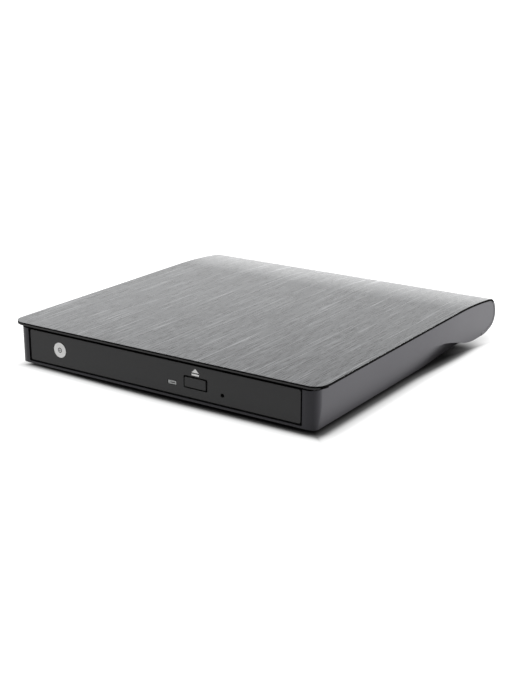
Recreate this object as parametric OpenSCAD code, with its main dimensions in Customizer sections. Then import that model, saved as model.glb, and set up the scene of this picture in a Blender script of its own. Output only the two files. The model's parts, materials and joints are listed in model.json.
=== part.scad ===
// External slim optical drive: a tray drive in a case with a wrapped cover.
// Millimetres. X runs across, Y to the back, Z up from the surface it stands on.

/* [Case] */
// Room between the drive and the base's side wall
side_room = 4.6; // [3.6:0.1:8.6]
// Length of the case behind the drive
rear_room = 19.9; // [18.9:0.1:27.9]
// Room between the drive and the top cover
head_room = 2.5; // [2.4:0.1:4.5]
// Thickness of the top cover
cover_t = 1.2; // [0.9:0.1:1.4]
// Plan radius of the cover's front corners
cover_corner_r = 5; // [3:0.5:7]
// Overhang of the cover past the base at the front
lip_over = 1; // [0.6:0.1:1.4]
// Overhang of the cover past the base's side near the front
side_over = 2.4; // [1.8:0.1:2.8]
// Overhang of the cover past the wings near the tail
tail_over = 0.2; // [0.1:0.1:0.8]
// Gap between the cover and the base under it
cover_gap = 0.1; // [0.05:0.05:0.2]
// Height of the base's underside above the surface
base_lift = 1.6; // [1.2:0.1:2]
// Floor thickness of the base
floor_t = 1; // [0.9:0.1:1.3]
// Wall thickness of the base
wall_t = 2; // [1.4:0.1:2.2]
// Thickness of the base's front frame
frame_t = 2.4; // [2:0.1:2.6]
// Height of the shadow gap between the front frame and the cover
reveal_h = 1.1; // [0.8:0.1:1.3]
// Depth of the shadow gap
reveal_d = 1.4; // [1:0.1:1.5]
// Rounding of the base's lower edges
edge_r = 0.8; // [0.4:0.1:1]
// Radius of a rubber foot
foot_r = 5; // [3:0.5:6]
// Depth of the recess that holds a foot
foot_recess = 0.4; // [0.2:0.1:0.5]

/* [Tail and wings] */
// Length over which the cover falls towards the tail
tail_len = 37; // [30:1:45]
// Radius of the cover's slow fall
tail_r = 250; // [200:10:400]
// Radius of the tail's upper round
nose_r = 7.5; // [6.5:0.25:8]
// Radius of the tail's lower round
low_r = 6; // [5.5:0.25:6.5]
// Radius of the tail's underside
lobe_r = 30; // [24:1:40]
// Height of the tail's underside above the surface
tail_clear = 2.3; // [2.1:0.1:2.6]
// Distance from the tail's end to the lowest line of a wing
wing_low = 20; // [17:0.5:23]
// Radius of a wing's lower lobe
wing_lobe_r = 48; // [36:2:60]
// Steepest slope of a wing's lower edge, in degrees
wing_slope = 17; // [12:0.5:18]
// Radius of a wing's edge where it fades into the side
wing_fade_r = 150; // [120:5:180]
// Tuck-in of the lower side at the front
tuck_front = 0.5; // [0.3:0.1:1]
// Tuck-in of the lower side under a wing
tuck_tail = 2; // [1:0.1:2.2]

/* [Bezel and button] */
// How far the bezel reaches past the drive's side
bezel_side = 0.3; // [0:0.05:0.5]
// How much taller the bezel is than the drive
bezel_tall = 0; // [-0.2:0.05:0.2]
// Thickness of the bezel
bezel_t = 2.3; // [2.1:0.1:2.6]
// Gap round the bezel
bezel_gap = 0.6; // [0.4:0.05:0.7]
// Set-back of the bezel behind the base's front
bezel_set = 0.3; // [0.2:0.1:0.6]
// Height of the sill under the bezel above the base's floor
front_sill = 0.45; // [0.2:0.05:0.6]
// Corner radius of the bezel
bezel_r = 0.8; // [0.4:0.1:1.5]
// Centre of the eject button across
button_x = 18.5; // [17:0.05:19.5]
// Width of the eject button
button_w = 10; // [8:0.1:11]
// Height of the eject button
button_h = 4; // [3.4:0.1:4.2]
// Gap round the eject button
button_gap = 0.45; // [0.3:0.05:0.5]
// Height of the button's centre above the bezel's lower edge
button_up = 5.9; // [5.7:0.05:6]
// Travel of the eject button
button_travel = 0.6; // [0.3:0.05:0.7]
// How far the button stands out of the bezel
button_proud = 0.5; // [0.2:0.05:0.6]
// Centre of the LED window across
led_x = 7.6; // [6.5:0.1:8.5]
// Width of the LED window
led_w = 4.2; // [3:0.1:5]
// Height of the LED window
led_h = 1.8; // [1.4:0.1:2]
// Height of the LED window's centre above the bezel's lower edge
led_up = 4.3; // [4.1:0.05:4.4]
// Place of the emergency-eject pinhole across
pin_x = 30.7; // [30:0.1:31.5]
// Radius of the pinhole
pin_r = 0.8; // [0.6:0.05:0.9]
// Height of the pinhole above the bezel's lower edge
pin_up = 3.65; // [3.4:0.05:3.9]

/* [Drive shell] */
// Thickness of the drive's sheet steel
sheet_t = 0.6; // [0.5:0.05:0.7]
// Gap between the bezel and the drive's shell
shell_gap = 0.5; // [0.4:0.1:0.7]
// Height of the pan's side walls
pan_wall_h = 8.6; // [8:0.1:9.5]
// Width of a rail guide
guide_w = 2.8; // [2.7:0.05:3]
// Height of a rail guide
guide_h = 4.4; // [4.3:0.05:4.6]
// Wall of guides and rails
channel_t = 0.6; // [0.5:0.05:0.65]
// Sliding gap between tray, rails and guides
slide_gap = 0.2; // [0.15:0.05:0.25]

/* [Tray] */
// Diameter of the disc the tray takes
disc_d = 120; // [110:0.5:132]
// Thickness of the disc
disc_t = 1.2; // [1.1:0.05:1.3]
// Diameter of the disc's hole
disc_hole_d = 15; // [14.6:0.1:15.4]
// Room round the disc in the tray's recess
disc_room = 0.5; // [0.4:0.1:0.6]
// Height between the recess floor and the drive's lid
disc_space = 4.6; // [4.5:0.05:4.7]
// Height of the disc above the recess floor
disc_lift = 0.9; // [0.8:0.05:1]
// Thickness of the tray's deck
deck_t = 1; // [0.8:0.05:1.1]
// Rim of the tray beside the recess
tray_edge = 2.3; // [2.2:0.1:3]
// Rim of the tray behind the recess
tray_end = 0.6; // [0.4:0.1:1.2]
// Gap between the tray's back edge and the drive's back wall
tray_rear_gap = 2.5; // [2.3:0.1:4]
// Height of the mechanism between the tray's shield and its deck
mech_h = 4.9; // [4.8:0.05:5.3]
// Front wall of the tray before the recess
front_wall = 2.4; // [2:0.1:2.5]
// Gap between the tray's rim and the lid
rim_gap = 1.2; // [0.8:0.1:1.6]
// Gap between the tray's edge and the pan's walls
tray_side_gap = 0.6; // [0.4:0.05:0.8]
// Thickness of the tray's side skirts
skirt_t = 1.2; // [1:0.1:1.4]
// Room under the tray for the folded ribbon
ribbon_room = 0.7; // [0.65:0.05:0.8]
// Thickness of the tray's bottom shield
shield_t = 0.3; // [0.2:0.05:0.35]

/* [Spindle] */
// Radius of the rotor
rotor_r = 12.5; // [11:0.25:12.5]
// Radius of the turntable
table_r = 14.2; // [13:0.1:14.4]
// Radius of the motor shaft
shaft_r = 1.25; // [1:0.05:1.5]
// Running clearance of shafts in their bores
run_gap = 0.05; // [0.03:0.01:0.08]
// Clearance between the hub and the disc's hole
hub_clear = 0.1; // [0.05:0.01:0.15]
// How far a claw reaches past the hub
claw_reach = 0.5; // [0.3:0.05:0.6]
// Width of a claw
claw_w = 3; // [2.4:0.1:3.4]

/* [Pickup] */
// Direction of the pickup's travel, in degrees from the X axis
sled_dir = 225; // [222:0.5:228]
// Distance from the spindle to the lens at rest
lens_at = 26; // [24:0.5:30]
// Least distance from the spindle to the lens
lens_min = 22.5; // [22.5:0.1:23.5]
// Rim of the disc that the lens doesn't reach
lens_rim = 2.5; // [2.2:0.1:4]
// Offset of a guide rod from the travel line
rod_off = 11.8; // [11.6:0.05:11.9]
// Radius of a guide rod
rod_r = 1; // [0.8:0.05:1]
// Offset of the lead screw from the travel line
screw_off = 17; // [16.8:0.05:17.2]
// Radius of the lead screw
screw_r = 1.3; // [1.1:0.05:1.35]
// Half width of the pickup's body
pickup_hw = 10.2; // [9.5:0.1:10.2]
// Radius of the objective lens
lens_r = 2.2; // [1.8:0.1:2.4]

/* [Latch] */
// Length of the latch lever from the pinhole to its pivot
latch_arm = 13.8; // [13.3:0.1:14.1]
// Distance of the latch pivot behind the bezel
latch_back = 19.4; // [19:0.1:20]
// Radius of the latch pivot
latch_pin_r = 1; // [0.8:0.05:1.1]
// Radius of the latch post
post_r = 1.2; // [1:0.05:1.25]

/* [Boards and socket] */
// Thickness of a circuit board
board_t = 0.8; // [0.6:0.1:1]
// Width of the USB socket's shell
usb_w = 12.4; // [12:0.1:13]
// Height of the USB socket's shell
usb_h = 3; // [2.8:0.1:3.1]
// Wall of the USB socket's shell
usb_t = 0.3; // [0.25:0.05:0.4]
// Room round the socket in the case
usb_room = 0.6; // [0.4:0.1:0.8]
// Half width of the drive's data socket
sata_hw = 15; // [14:0.5:16]

/* [Hidden] */
$fn = 64;
eps = 0.01;

// Levels of the case and the drive
z_floor = base_lift + floor_t;
z_pan = z_floor + sheet_t;
z_shield = z_pan + ribbon_room;
z_mech = z_shield + shield_t;
z_deck_low = z_mech + mech_h;
z_deck = z_deck_low + deck_t;
z_lid = z_deck + disc_space;
z_top = z_lid + sheet_t;
drive_h = z_top - z_floor;
z_under = z_top + head_room;
case_h = z_under + cover_t;
z_sky = case_h + 10;
z_seam = z_floor + pan_wall_h;
z_rim = z_lid - rim_gap;
z_seat = z_deck + disc_lift;
plate_t = 0.8;
z_plate = z_deck_low - 2 * plate_t;
z_rod = z_plate - 1.7;
z_screw = z_plate - 0.9;

// Widths from the disc outwards
disc_r = disc_d / 2;
recess_r = disc_r + disc_room;
tray_hw = recess_r + tray_edge;
x_pan = tray_hw + tray_side_gap;
drive_w = 2 * (x_pan + sheet_t);
case_w = drive_w + 2 * (side_room + wall_t + side_over);
bezel_w = drive_w + 2 * bezel_side;
bezel_h = drive_h + bezel_tall;
z_sill = z_floor + front_sill;
z_bezel = z_sill + bezel_gap;

// Lines from the front lip to the tail
drive_d = front_wall + 2 * recess_r + tray_end + tray_rear_gap - shell_gap;
case_d = lip_over + bezel_set + bezel_t + shell_gap + drive_d + rear_room;
y_front = -case_d / 2;
y_back = case_d / 2;
y_base = y_front + lip_over;
y_bezel = y_base + bezel_set;
y_tray = y_bezel + bezel_t;
y_drive = y_tray + shell_gap;
y_disc = y_tray + front_wall + recess_r;
tray_back = y_disc + recess_r + tray_end;
y_rear = y_drive + drive_d;

// Tail arcs, in Y and Z
tail_y = y_back - tail_len;
tail_a = asin((tail_len - nose_r) / (tail_r - nose_r));
nose_z = case_h - tail_r * (1 - cos(tail_a)) - nose_r * cos(tail_a);
nose_c = [y_back - nose_r, nose_z];
low_c = [y_back - low_r, nose_z];
lobe_a = asin((tail_clear + lobe_r - nose_z) / (lobe_r - low_r));
lobe_c = [low_c[0] - (lobe_r - low_r) * cos(lobe_a), nose_z + (lobe_r - low_r) * sin(lobe_a)];
wrap_end = lobe_c[0];

// Wing lines
wing_y = y_back - wing_low;
wing_turn_y = wing_y - wing_lobe_r * sin(wing_slope);
wing_turn_z = tail_clear + wing_lobe_r * (1 - cos(wing_slope));
fade_y = wing_turn_y - wing_fade_r * sin(wing_slope);
fade_z = wing_turn_z - wing_fade_r * cos(wing_slope);
flare_y = y_front + 35;
tuck_y = y_front + 80;

// Tray cut-away at the back right
cut_y = tray_back - 24;
cut_x = tray_hw - 32;
wall_front_t = 1.4;

// Rail lines
z_guide = z_deck_low - 0.3 - guide_h;
z_rail = z_guide + channel_t + slide_gap;
rail_h = guide_h - 2 * (channel_t + slide_gap);
rail_x1 = x_pan - channel_t - slide_gap;
rail_x0 = x_pan - guide_w - 0.4;
z_runner = z_rail + channel_t + slide_gap;
runner_h = rail_h - 2 * (channel_t + slide_gap);
runner_x1 = rail_x1 - channel_t - slide_gap;
skirt_x1 = rail_x0 - 0.7;
skirt_x0 = skirt_x1 - skirt_t;
rail_y = y_drive + 4;
rail_len = drive_d - 11;

// Spindle levels
z_motor = z_mech + 0.2;
motor_t = 0.7;
z_can = z_motor + motor_t + 0.3;
z_can_top = z_deck - 0.7;
can_t = 0.8;
z_table = z_can_top + 0.2;
pad_t = 0.6;
z_table_top = z_seat - pad_t;
hub_r = disc_hole_d / 2 - hub_clear;
z_hub = z_seat + disc_t;
z_hub_low = z_seat + 0.1;
claw_t = 0.8;
claw_gap = 0.08;
claw_back = 3.7;
claw_travel = 0.7;

// Pickup lines, along the travel from the spindle
pickup_in = 7.5;
pickup_out = 6.5;
lens_max = disc_r - lens_rim;
z_pickup = z_mech + 0.3;
z_pickup_top = z_deck - 0.8;
bush_r = 1.4;
rod_in = lens_min - pickup_in - 1.8;
rod_out = lens_max + pickup_out + 0.7;
screw_in = rod_in + 0.3;
screw_out = lens_max - 4.3;
window_hw = pickup_hw + 0.9;
window_end = rod_out - 0.1;
damper_at = [[-15, -11], [rod_out - 8.2, -screw_off], [screw_out + 4.6, screw_off]];
standoff_at = [[-8.5, 14.7], [-17, 0], [-8.5, -14.7]];
hub_hole_r = 16.5;

// Latch lines
latch_x = pin_x + latch_arm;
latch_y = y_tray + latch_back;
latch_t = 1.2;
z_latch = z_mech + 0.3;
post_x = latch_x + 5.5;
post_y = latch_y - 10;
plunger_x = latch_x - 6.5;
plunger_r = 1;
plunger_y = latch_y + 0.8;

// Bezel parts
z_button = z_bezel + button_up;
z_led = z_bezel + led_up;
z_pin = z_bezel + pin_up;
flange_over = 0.7;
flange_t = 0.5;
z_tray_board = z_deck_low - 2.9;
switch_y = y_tray + 3;

// Rear boards
z_board = z_pan + 0.8;
z_sata = z_board + board_t;
sata_h = 3.6;
plug_gap = 0.3;
z_bridge = z_sata + sata_h - 0.4;
bridge_y = y_rear + 1.4;
usb_len = 7.5;
usb_y = y_back - 1 - usb_len;
z_usb = z_bridge + board_t;
bridge_hw = 22;
board_x0 = 10;
board_x1 = x_pan - 9.4;
board_y0 = y_disc + 18.6;
board_y1 = y_rear - 10;
ribbon_x0 = -30;
ribbon_x1 = -10;
ribbon_t = 0.15;
ribbon_y = board_y1 - 3.8;
ribbon_fold = y_rear - 79;
ribbon_end = y_rear - 21;
bridge_screw = [bridge_hw - 4, 7];
drive_screw_at = [drive_w / 2 - 18, drive_d / 2 - 23];

// Shared shapes
function mix(a, b, t) = a + (b - a) * t;
function ease(t) = let (u = max(0, min(1, t))) u * u * (3 - 2 * u);
function arc(c, r, a0, a1, n, first = 0) =
  [for (i = [first:n]) let (a = mix(a0, a1, i / n)) [c[0] + r * cos(a), c[1] + r * sin(a)]];
function back_to_front(p) = [for (i = [len(p) - 1:-1:0]) p[i]];

// Outer line of the cover from the front lip round the tail, moved in by d
function wrap(d) = concat(
  [[y_front, case_h - d]],
  arc([tail_y, case_h - tail_r], tail_r - d, 90, 90 - tail_a, 8),
  arc(nose_c, nose_r - d, 90 - tail_a, 0, 12, 1),
  arc(low_c, low_r - d, 0, -lobe_a, 9, 1),
  arc(lobe_c, lobe_r - d, -lobe_a, -90, 5, 1));

// Half width of the base at its top and at its lower edge
function side_hw(y) = case_w / 2 - mix(side_over, tail_over, ease((y - flare_y) / (wing_y - 15 - flare_y)));
function low_hw(y) =
  case_w / 2 - side_over - mix(tuck_front, tuck_tail, ease((y - tuck_y) / (wing_y - 15 - tuck_y)));

// Height of a wing's lower edge
function wing_z(y) =
  y > wing_y ? tail_clear :
  y > wing_turn_y ? tail_clear + wing_lobe_r - sqrt(pow(wing_lobe_r, 2) - pow(y - wing_y, 2)) :
  y > fade_y ? fade_z + sqrt(pow(wing_fade_r, 2) - pow(y - fade_y, 2)) : fade_z + wing_fade_r;

// Right half of the base's cross-section, moved in by d
function half_section(y, d) =
  let (u = side_hw(y) - d)
  let (l = low_hw(y) - d)
  let (zc = wing_z(y))
  let (zb = min(base_lift + edge_r, zc - 0.3))
  let (p = mix(2, 1, ease((y - tuck_y) / (wing_y - 15 - tuck_y))))
  concat(
    [[u, z_sky]],
    [for (i = [0:4]) [u - (u - l) * pow(i / 4, p), mix(zc, zb, i / 4)]],
    [[l - 0.3 * edge_r, zb - 0.7 * edge_r]],
    [[l - edge_r, zb - edge_r]],
    [[l - edge_r - 3, zb - edge_r - 1]]);

function section(y, d) =
  let (h = half_section(y, d))
  concat(h, [for (p = back_to_front(h)) [-p[0], p[1]]]);

module along_x(w) {
  rotate([90, 0, 90])
    linear_extrude(w, center = true)
      children();
}

module along_y(y, t) {
  translate([0, y + t, 0])
    rotate([90, 0, 0])
      linear_extrude(t)
        children();
}

// Box from one corner to the opposite one
module span(a, b) {
  translate(a)
    cube(b - a);
}

// Right-hand and left-hand copies
module both() {
  children();
  mirror([1, 0, 0])
    children();
}

// Frame of the pickup's travel: X outward from the spindle
module traverse() {
  translate([0, y_disc, 0])
    rotate([0, 0, sled_dir])
      children();
}

module rod_along(s0, s1, w, z, r) {
  translate([s0, w, z])
    rotate([0, 90, 0])
      cylinder(r = r, h = s1 - s0);
}

module rounded(w, h, r) {
  polygon(concat(
    arc([w / 2 - r, h / 2 - r], r, 0, 90, 6),
    arc([r - w / 2, h / 2 - r], r, 90, 180, 6),
    arc([r - w / 2, r - h / 2], r, 180, 270, 6),
    arc([w / 2 - r, r - h / 2], r, 270, 360, 6)));
}

// Plan with two rounded front corners
module front_plan(hw, y, r, out) {
  polygon(concat(
    [[out, y_back + 5], [-out, y_back + 5], [-out, y + r]],
    arc([r - hw, y + r], r, 180, 270, 8),
    arc([hw - r, y + r], r, 270, 360, 8),
    [[out, y + r]]));
}

// Body of the base between its sculpted sides, moved in by d
module side_skin(d) {
  lines = concat([y_front - 2], [for (i = [0:18]) mix(flare_y, wing_y + 2, i / 18)], [y_back + 2]);
  n = 2 * len(half_section(0, 0));
  m = len(lines);
  points = [for (y = lines) for (p = section(y, d)) [p[0], y, p[1]]];
  sides = [for (i = [0:m - 2]) for (j = [0:n - 1])
    let (a = i * n + j)
    let (b = i * n + (j + 1) % n)
    for (f = [[a, a + n, b], [b, a + n, b + n]]) f];
  ends = [[for (j = [0:n - 1]) j], [for (j = [n - 1:-1:0]) (m - 1) * n + j]];
  polyhedron(points, concat(sides, ends));
}

module usb_opening(room) {
  translate([0, 0, z_usb + usb_h / 2])
    along_y(y_back - 8, 10)
      rounded(usb_w + 2 * room, usb_h + 2 * room, 0.8);
}

// Case
module top_cover() {
  rib_x = case_w / 2 - side_over - wall_t - 1.6;
  rib_t = 1.2;
  rib_h = 1.6;
  color([0.33, 0.34, 0.36]) {
    difference() {
      intersection() {
        along_x(case_w)
          polygon(concat(wrap(0), back_to_front(wrap(cover_t))));
        linear_extrude(z_sky)
          front_plan(case_w / 2, y_front, cover_corner_r, case_w / 2);
      }
      usb_opening(usb_room);
    }
    both()
      span([rib_x - rib_t, y_drive + 8, z_under - rib_h], [rib_x, tail_y - 10, z_under]);
  }
}

module base_case() {
  d = cover_t + cover_gap;
  z_wall_top = z_under - cover_gap;
  inner = d + 1.6;
  rib_h = 8;
  rib_t = 1.6;
  tail_wall = nose_z + 2.6;
  outer = concat(
    [[y_base, base_lift + edge_r], [y_base, z_wall_top]],
    [for (i = [1:len(wrap(d)) - 1]) wrap(d)[i]],
    [[wrap_end - 0.2, tail_clear + d], [wrap_end - 0.2, tail_clear], [y_rear + 3, tail_clear]],
    [[y_rear, base_lift], [y_base + edge_r, base_lift]],
    [[y_base + 0.3 * edge_r, base_lift + 0.3 * edge_r]]);
  nose_in = arc(lobe_c, lobe_r - inner, -90, -lobe_a, 5);
  low_in = arc(low_c, low_r - inner, -lobe_a, 0, 6, 1);
  cavity = concat(
    [[y_base + frame_t, z_sky], [y_base + frame_t, z_floor], [y_rear + 0.6, z_floor]],
    nose_in,
    low_in,
    [[y_back - inner, tail_wall], [y_back + 9, tail_wall], [y_back + 9, z_sky]]);
  open_hw = bezel_w / 2 + bezel_gap;
  color([0.22, 0.21, 0.24])
    difference() {
      union() {
        difference() {
          intersection() {
            side_skin(0);
            along_x(case_w)
              polygon(outer);
            translate([0, 0, -1])
              linear_extrude(z_sky)
                front_plan(side_hw(y_base), y_base, cover_corner_r - 0.8, case_w);
          }
          intersection() {
            side_skin(wall_t);
            along_x(case_w)
              polygon(cavity);
          }
        }
        both()
          for (y = [y_drive + 17, y_drive + 51, y_rear - 41, y_rear - 13])
            span([drive_w / 2 + slide_gap, y, z_floor - 0.3],
              [low_hw(y) - wall_t + 0.7, y + rib_t, z_floor + rib_h]);
        both()
          span([drive_w / 2 - 16, y_rear + slide_gap, z_floor - 0.3],
            [drive_w / 2 - 12, y_rear + 2, z_floor + 6]);
        both()
          translate([bridge_screw[0], bridge_y + bridge_screw[1], tail_clear + 2])
            cylinder(r = 2, h = z_bridge - tail_clear - 2);
      }
      span([-open_hw, y_base - 1, z_sill], [open_hw, y_base + frame_t + 1, case_h]);
      span([-case_w, y_base - 1, z_wall_top - reveal_h], [case_w, y_base + reveal_d, case_h]);
      usb_opening(usb_room + 0.1);
      for (p = foot_places())
        translate([p[0], p[1], base_lift - 1])
          cylinder(r = foot_r + 0.1, h = 1 + foot_recess);
      for (p = screw_places())
        translate([p[0], p[1], base_lift - 1]) {
          cylinder(r = 1.05, h = floor_t + 2);
          cylinder(r = 2.1, h = 1.6);
        }
      both()
        translate([bridge_screw[0], bridge_y + bridge_screw[1], z_bridge - 3])
          cylinder(r = 0.85, h = 4);
    }
}

function foot_places() = [for (x = [-1, 1]) for (y = [y_front + 15, y_back - 39])
  [x * (case_w / 2 - side_over - 13), y]];
function screw_places() = [for (x = [-1, 1]) for (y = [-1, 1])
  [x * drive_screw_at[0], (y_drive + y_rear) / 2 + y * drive_screw_at[1]]];

module rubber_feet() {
  top = base_lift + foot_recess;
  color([0.08, 0.08, 0.08])
    for (p = foot_places())
      translate([p[0], p[1], 0])
        rotate_extrude()
          polygon([[0, 0], [foot_r - 0.6, 0], [foot_r, 0.6], [foot_r, top], [0, top]]);
}

module drive_screws() {
  color([0.6, 0.6, 0.62])
    for (p = screw_places())
      translate([p[0], p[1], 0]) {
        translate([0, 0, base_lift + 0.1])
          cylinder(r = 1.9, h = 0.5);
        translate([0, 0, base_lift + 0.1])
          cylinder(r = 0.95, h = floor_t + sheet_t + 0.1);
      }
}

module bridge_board() {
  color([0.1, 0.33, 0.2])
    difference() {
      span([-bridge_hw, bridge_y, z_bridge], [bridge_hw, usb_y + 4, z_bridge + board_t]);
      both()
        translate([bridge_screw[0], bridge_y + bridge_screw[1], z_bridge - 1])
          cylinder(r = 1, h = board_t + 2);
    }
}

module bridge_chips() {
  color([0.09, 0.09, 0.1]) {
    translate([-4, bridge_y + 2, z_bridge + board_t])
      cube([8, 6, 1]);
    translate([8, bridge_y + 3, z_bridge + board_t])
      cube([4, 3.4, 1.1]);
    translate([-12.5, bridge_y + 3, z_bridge + board_t])
      cube([5, 3.2, 0.9]);
  }
}

module bridge_screws() {
  color([0.65, 0.65, 0.67])
    both()
      translate([bridge_screw[0], bridge_y + bridge_screw[1], z_bridge - 2.5]) {
        cylinder(r = 0.8, h = board_t + 2.6);
        translate([0, 0, board_t + 2.5])
          cylinder(r = 1.8, h = 0.8);
      }
}

module usb_shell() {
  color([0.72, 0.73, 0.75])
    difference() {
      span([-usb_w / 2, usb_y, z_usb], [usb_w / 2, usb_y + usb_len, z_usb + usb_h]);
      span([usb_t - usb_w / 2, usb_y + 2, z_usb + usb_t],
        [usb_w / 2 - usb_t, usb_y + usb_len + 1, z_usb + usb_h - usb_t]);
    }
}

// Contact block with two tongues side by side
module usb_tongue() {
  mid = z_usb + usb_h / 2;
  half = usb_w / 2 - usb_t;
  tip = usb_y + usb_len - 0.6;
  color([0.1, 0.12, 0.3]) {
    span([-half, usb_y + 2, z_usb + usb_t], [half, usb_y + 3.4, z_usb + usb_h - usb_t]);
    span([0.8 - half, usb_y + 3.4, mid - 0.35], [1, tip, mid + 0.35]);
    span([2.2, usb_y + 3.4, mid - 0.35], [half - 0.8, tip, mid + 0.35]);
  }
}

module sata_plug() {
  mid = z_sata + (sata_h - 0.4) / 2;
  color([0.12, 0.12, 0.13]) {
    span([-sata_hw, bridge_y - 0.4, z_sata + 0.3], [sata_hw, bridge_y + 4, z_bridge]);
    span([plug_gap + 2 - sata_hw, y_rear - 2.4, mid - 0.6], [sata_hw - 2 - plug_gap, bridge_y, mid + 0.6]);
  }
}

// Drive shell
module drive_pan() {
  color([0.62, 0.63, 0.65])
    difference() {
      union() {
        span([-drive_w / 2, y_drive, z_floor], [drive_w / 2, y_rear, z_pan]);
        both()
          span([x_pan, y_drive, z_floor], [drive_w / 2, y_rear, z_seam]);
        span([-drive_w / 2, y_rear - sheet_t, z_floor], [drive_w / 2, y_rear, z_seam]);
        for (p = board_posts())
          translate([p[0], p[1], z_floor + sheet_t / 2])
            cylinder(r = 1.6, h = z_board - z_floor - sheet_t / 2);
      }
      span([-sata_hw - 0.3, y_rear - 2, z_sata - 0.3], [sata_hw + 0.3, y_rear + 1, z_sata + sata_h + 0.3]);
      for (p = screw_places())
        translate([p[0], p[1], z_floor - 1])
          cylinder(r = 1, h = sheet_t + 2);
      for (y = [y_disc - 22, y_disc + 16])
        translate([19.4 - x_pan, y, z_floor - 1])
          cylinder(r = 4, h = sheet_t + 2);
    }
}

module drive_lid() {
  color([0.68, 0.69, 0.71])
    difference() {
      union() {
        span([-drive_w / 2, y_drive, z_lid], [drive_w / 2, y_rear, z_top]);
        both()
          span([x_pan, y_drive, z_seam], [drive_w / 2, y_rear, z_top]);
        span([-drive_w / 2, y_rear - sheet_t, z_seam], [drive_w / 2, y_rear, z_top]);
      }
      translate([0, y_disc, z_top - sheet_t / 2])
        rotate_extrude()
          translate([disc_r - 8, 0])
            square([3, sheet_t]);
      translate([0, y_disc, z_top - sheet_t / 2])
        cylinder(r = 13, h = sheet_t);
    }
}

module guide_right() {
  span([x_pan - channel_t, rail_y, z_guide], [x_pan, rail_y + rail_len, z_guide + guide_h]);
  for (z = [z_guide, z_guide + guide_h - channel_t])
    span([x_pan - guide_w, rail_y, z], [x_pan, rail_y + rail_len, z + channel_t]);
}

module right_guide() {
  color([0.88, 0.87, 0.83])
    guide_right();
}

module left_guide() {
  color([0.88, 0.87, 0.83])
    mirror([1, 0, 0])
      guide_right();
}

module rail_right() {
  span([rail_x1 - channel_t, rail_y, z_rail], [rail_x1, rail_y + rail_len, z_rail + rail_h]);
  for (z = [z_rail, z_rail + rail_h - channel_t])
    span([rail_x0, rail_y, z], [rail_x1, rail_y + rail_len, z + channel_t]);
}

module right_rail() {
  color([0.75, 0.76, 0.78])
    rail_right();
}

module left_rail() {
  color([0.75, 0.76, 0.78])
    mirror([1, 0, 0])
      rail_right();
}

function board_posts() = [[board_x0 + 4, board_y0 + 4], [board_x1 - 4, board_y0 + 4],
  [board_x1 - 4, y_rear - 7], [ribbon_x0 + 6, y_rear - 5]];

module drive_board() {
  color([0.08, 0.3, 0.17])
    translate([0, 0, z_board])
      linear_extrude(board_t)
        polygon([[board_x0, board_y0], [board_x1, board_y0], [board_x1, y_rear - 1.4],
          [ribbon_x0 - 2, y_rear - 1.4], [ribbon_x0 - 2, board_y1], [board_x0, board_y1]]);
}

module drive_chips() {
  z = z_board + board_t;
  color([0.07, 0.07, 0.08]) {
    translate([board_x0 + 10, board_y0 + 10, z])
      cube([13, 13, 1.1]);
    translate([board_x0 + 28, board_y0 + 12, z])
      cube([8, 10, 1]);
    translate([board_x0 + 14, board_y0 + 28, z])
      cube([7, 5, 1]);
    translate([board_x0 + 30, board_y0 + 28, z])
      cube([5, 5, 1.3]);
  }
}

module ribbon_socket() {
  color([0.9, 0.88, 0.8])
    span([ribbon_x0 - 1, ribbon_y, z_pan + 0.05], [ribbon_x1 + 1, board_y1, z_board + board_t]);
}

// Flat ribbon folded back on itself under the tray
module tray_ribbon() {
  z0 = z_pan + 0.1;
  z1 = z_shield - 0.1;
  color([0.9, 0.9, 0.88])
    translate([(ribbon_x0 + ribbon_x1) / 2, 0, 0])
      along_x(ribbon_x1 - ribbon_x0)
        polygon([[ribbon_y, z0], [ribbon_fold, z0], [ribbon_fold - ribbon_t, z0 + ribbon_t],
          [ribbon_fold - ribbon_t, z1 - ribbon_t], [ribbon_fold, z1], [ribbon_end, z1],
          [ribbon_end, z1 - ribbon_t], [ribbon_fold, z1 - ribbon_t], [ribbon_fold, z0 + ribbon_t],
          [ribbon_y, z0 + ribbon_t]]);
}

module sata_socket() {
  mid = z_sata + (sata_h - 0.4) / 2;
  color([0.1, 0.1, 0.11])
    difference() {
      span([-sata_hw, y_rear - 5, z_sata], [sata_hw, y_rear + 0.8, z_sata + sata_h]);
      span([2 - sata_hw, y_rear - 2.8, mid - 0.6 - plug_gap],
        [sata_hw - 2, y_rear + 2, mid + 0.6 + plug_gap]);
    }
}

module latch_post() {
  color([0.7, 0.7, 0.72])
    translate([post_x, post_y, z_pan])
      cylinder(r = post_r, h = z_deck_low - 1.1 - z_pan);
}

// Tray
module tray_outline(d) {
  polygon([[d - tray_hw, y_tray + d], [tray_hw - d, y_tray + d], [tray_hw - d, cut_y - d],
    [cut_x - d / 2, tray_back - d], [d - tray_hw, tray_back - d]]);
}

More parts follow.
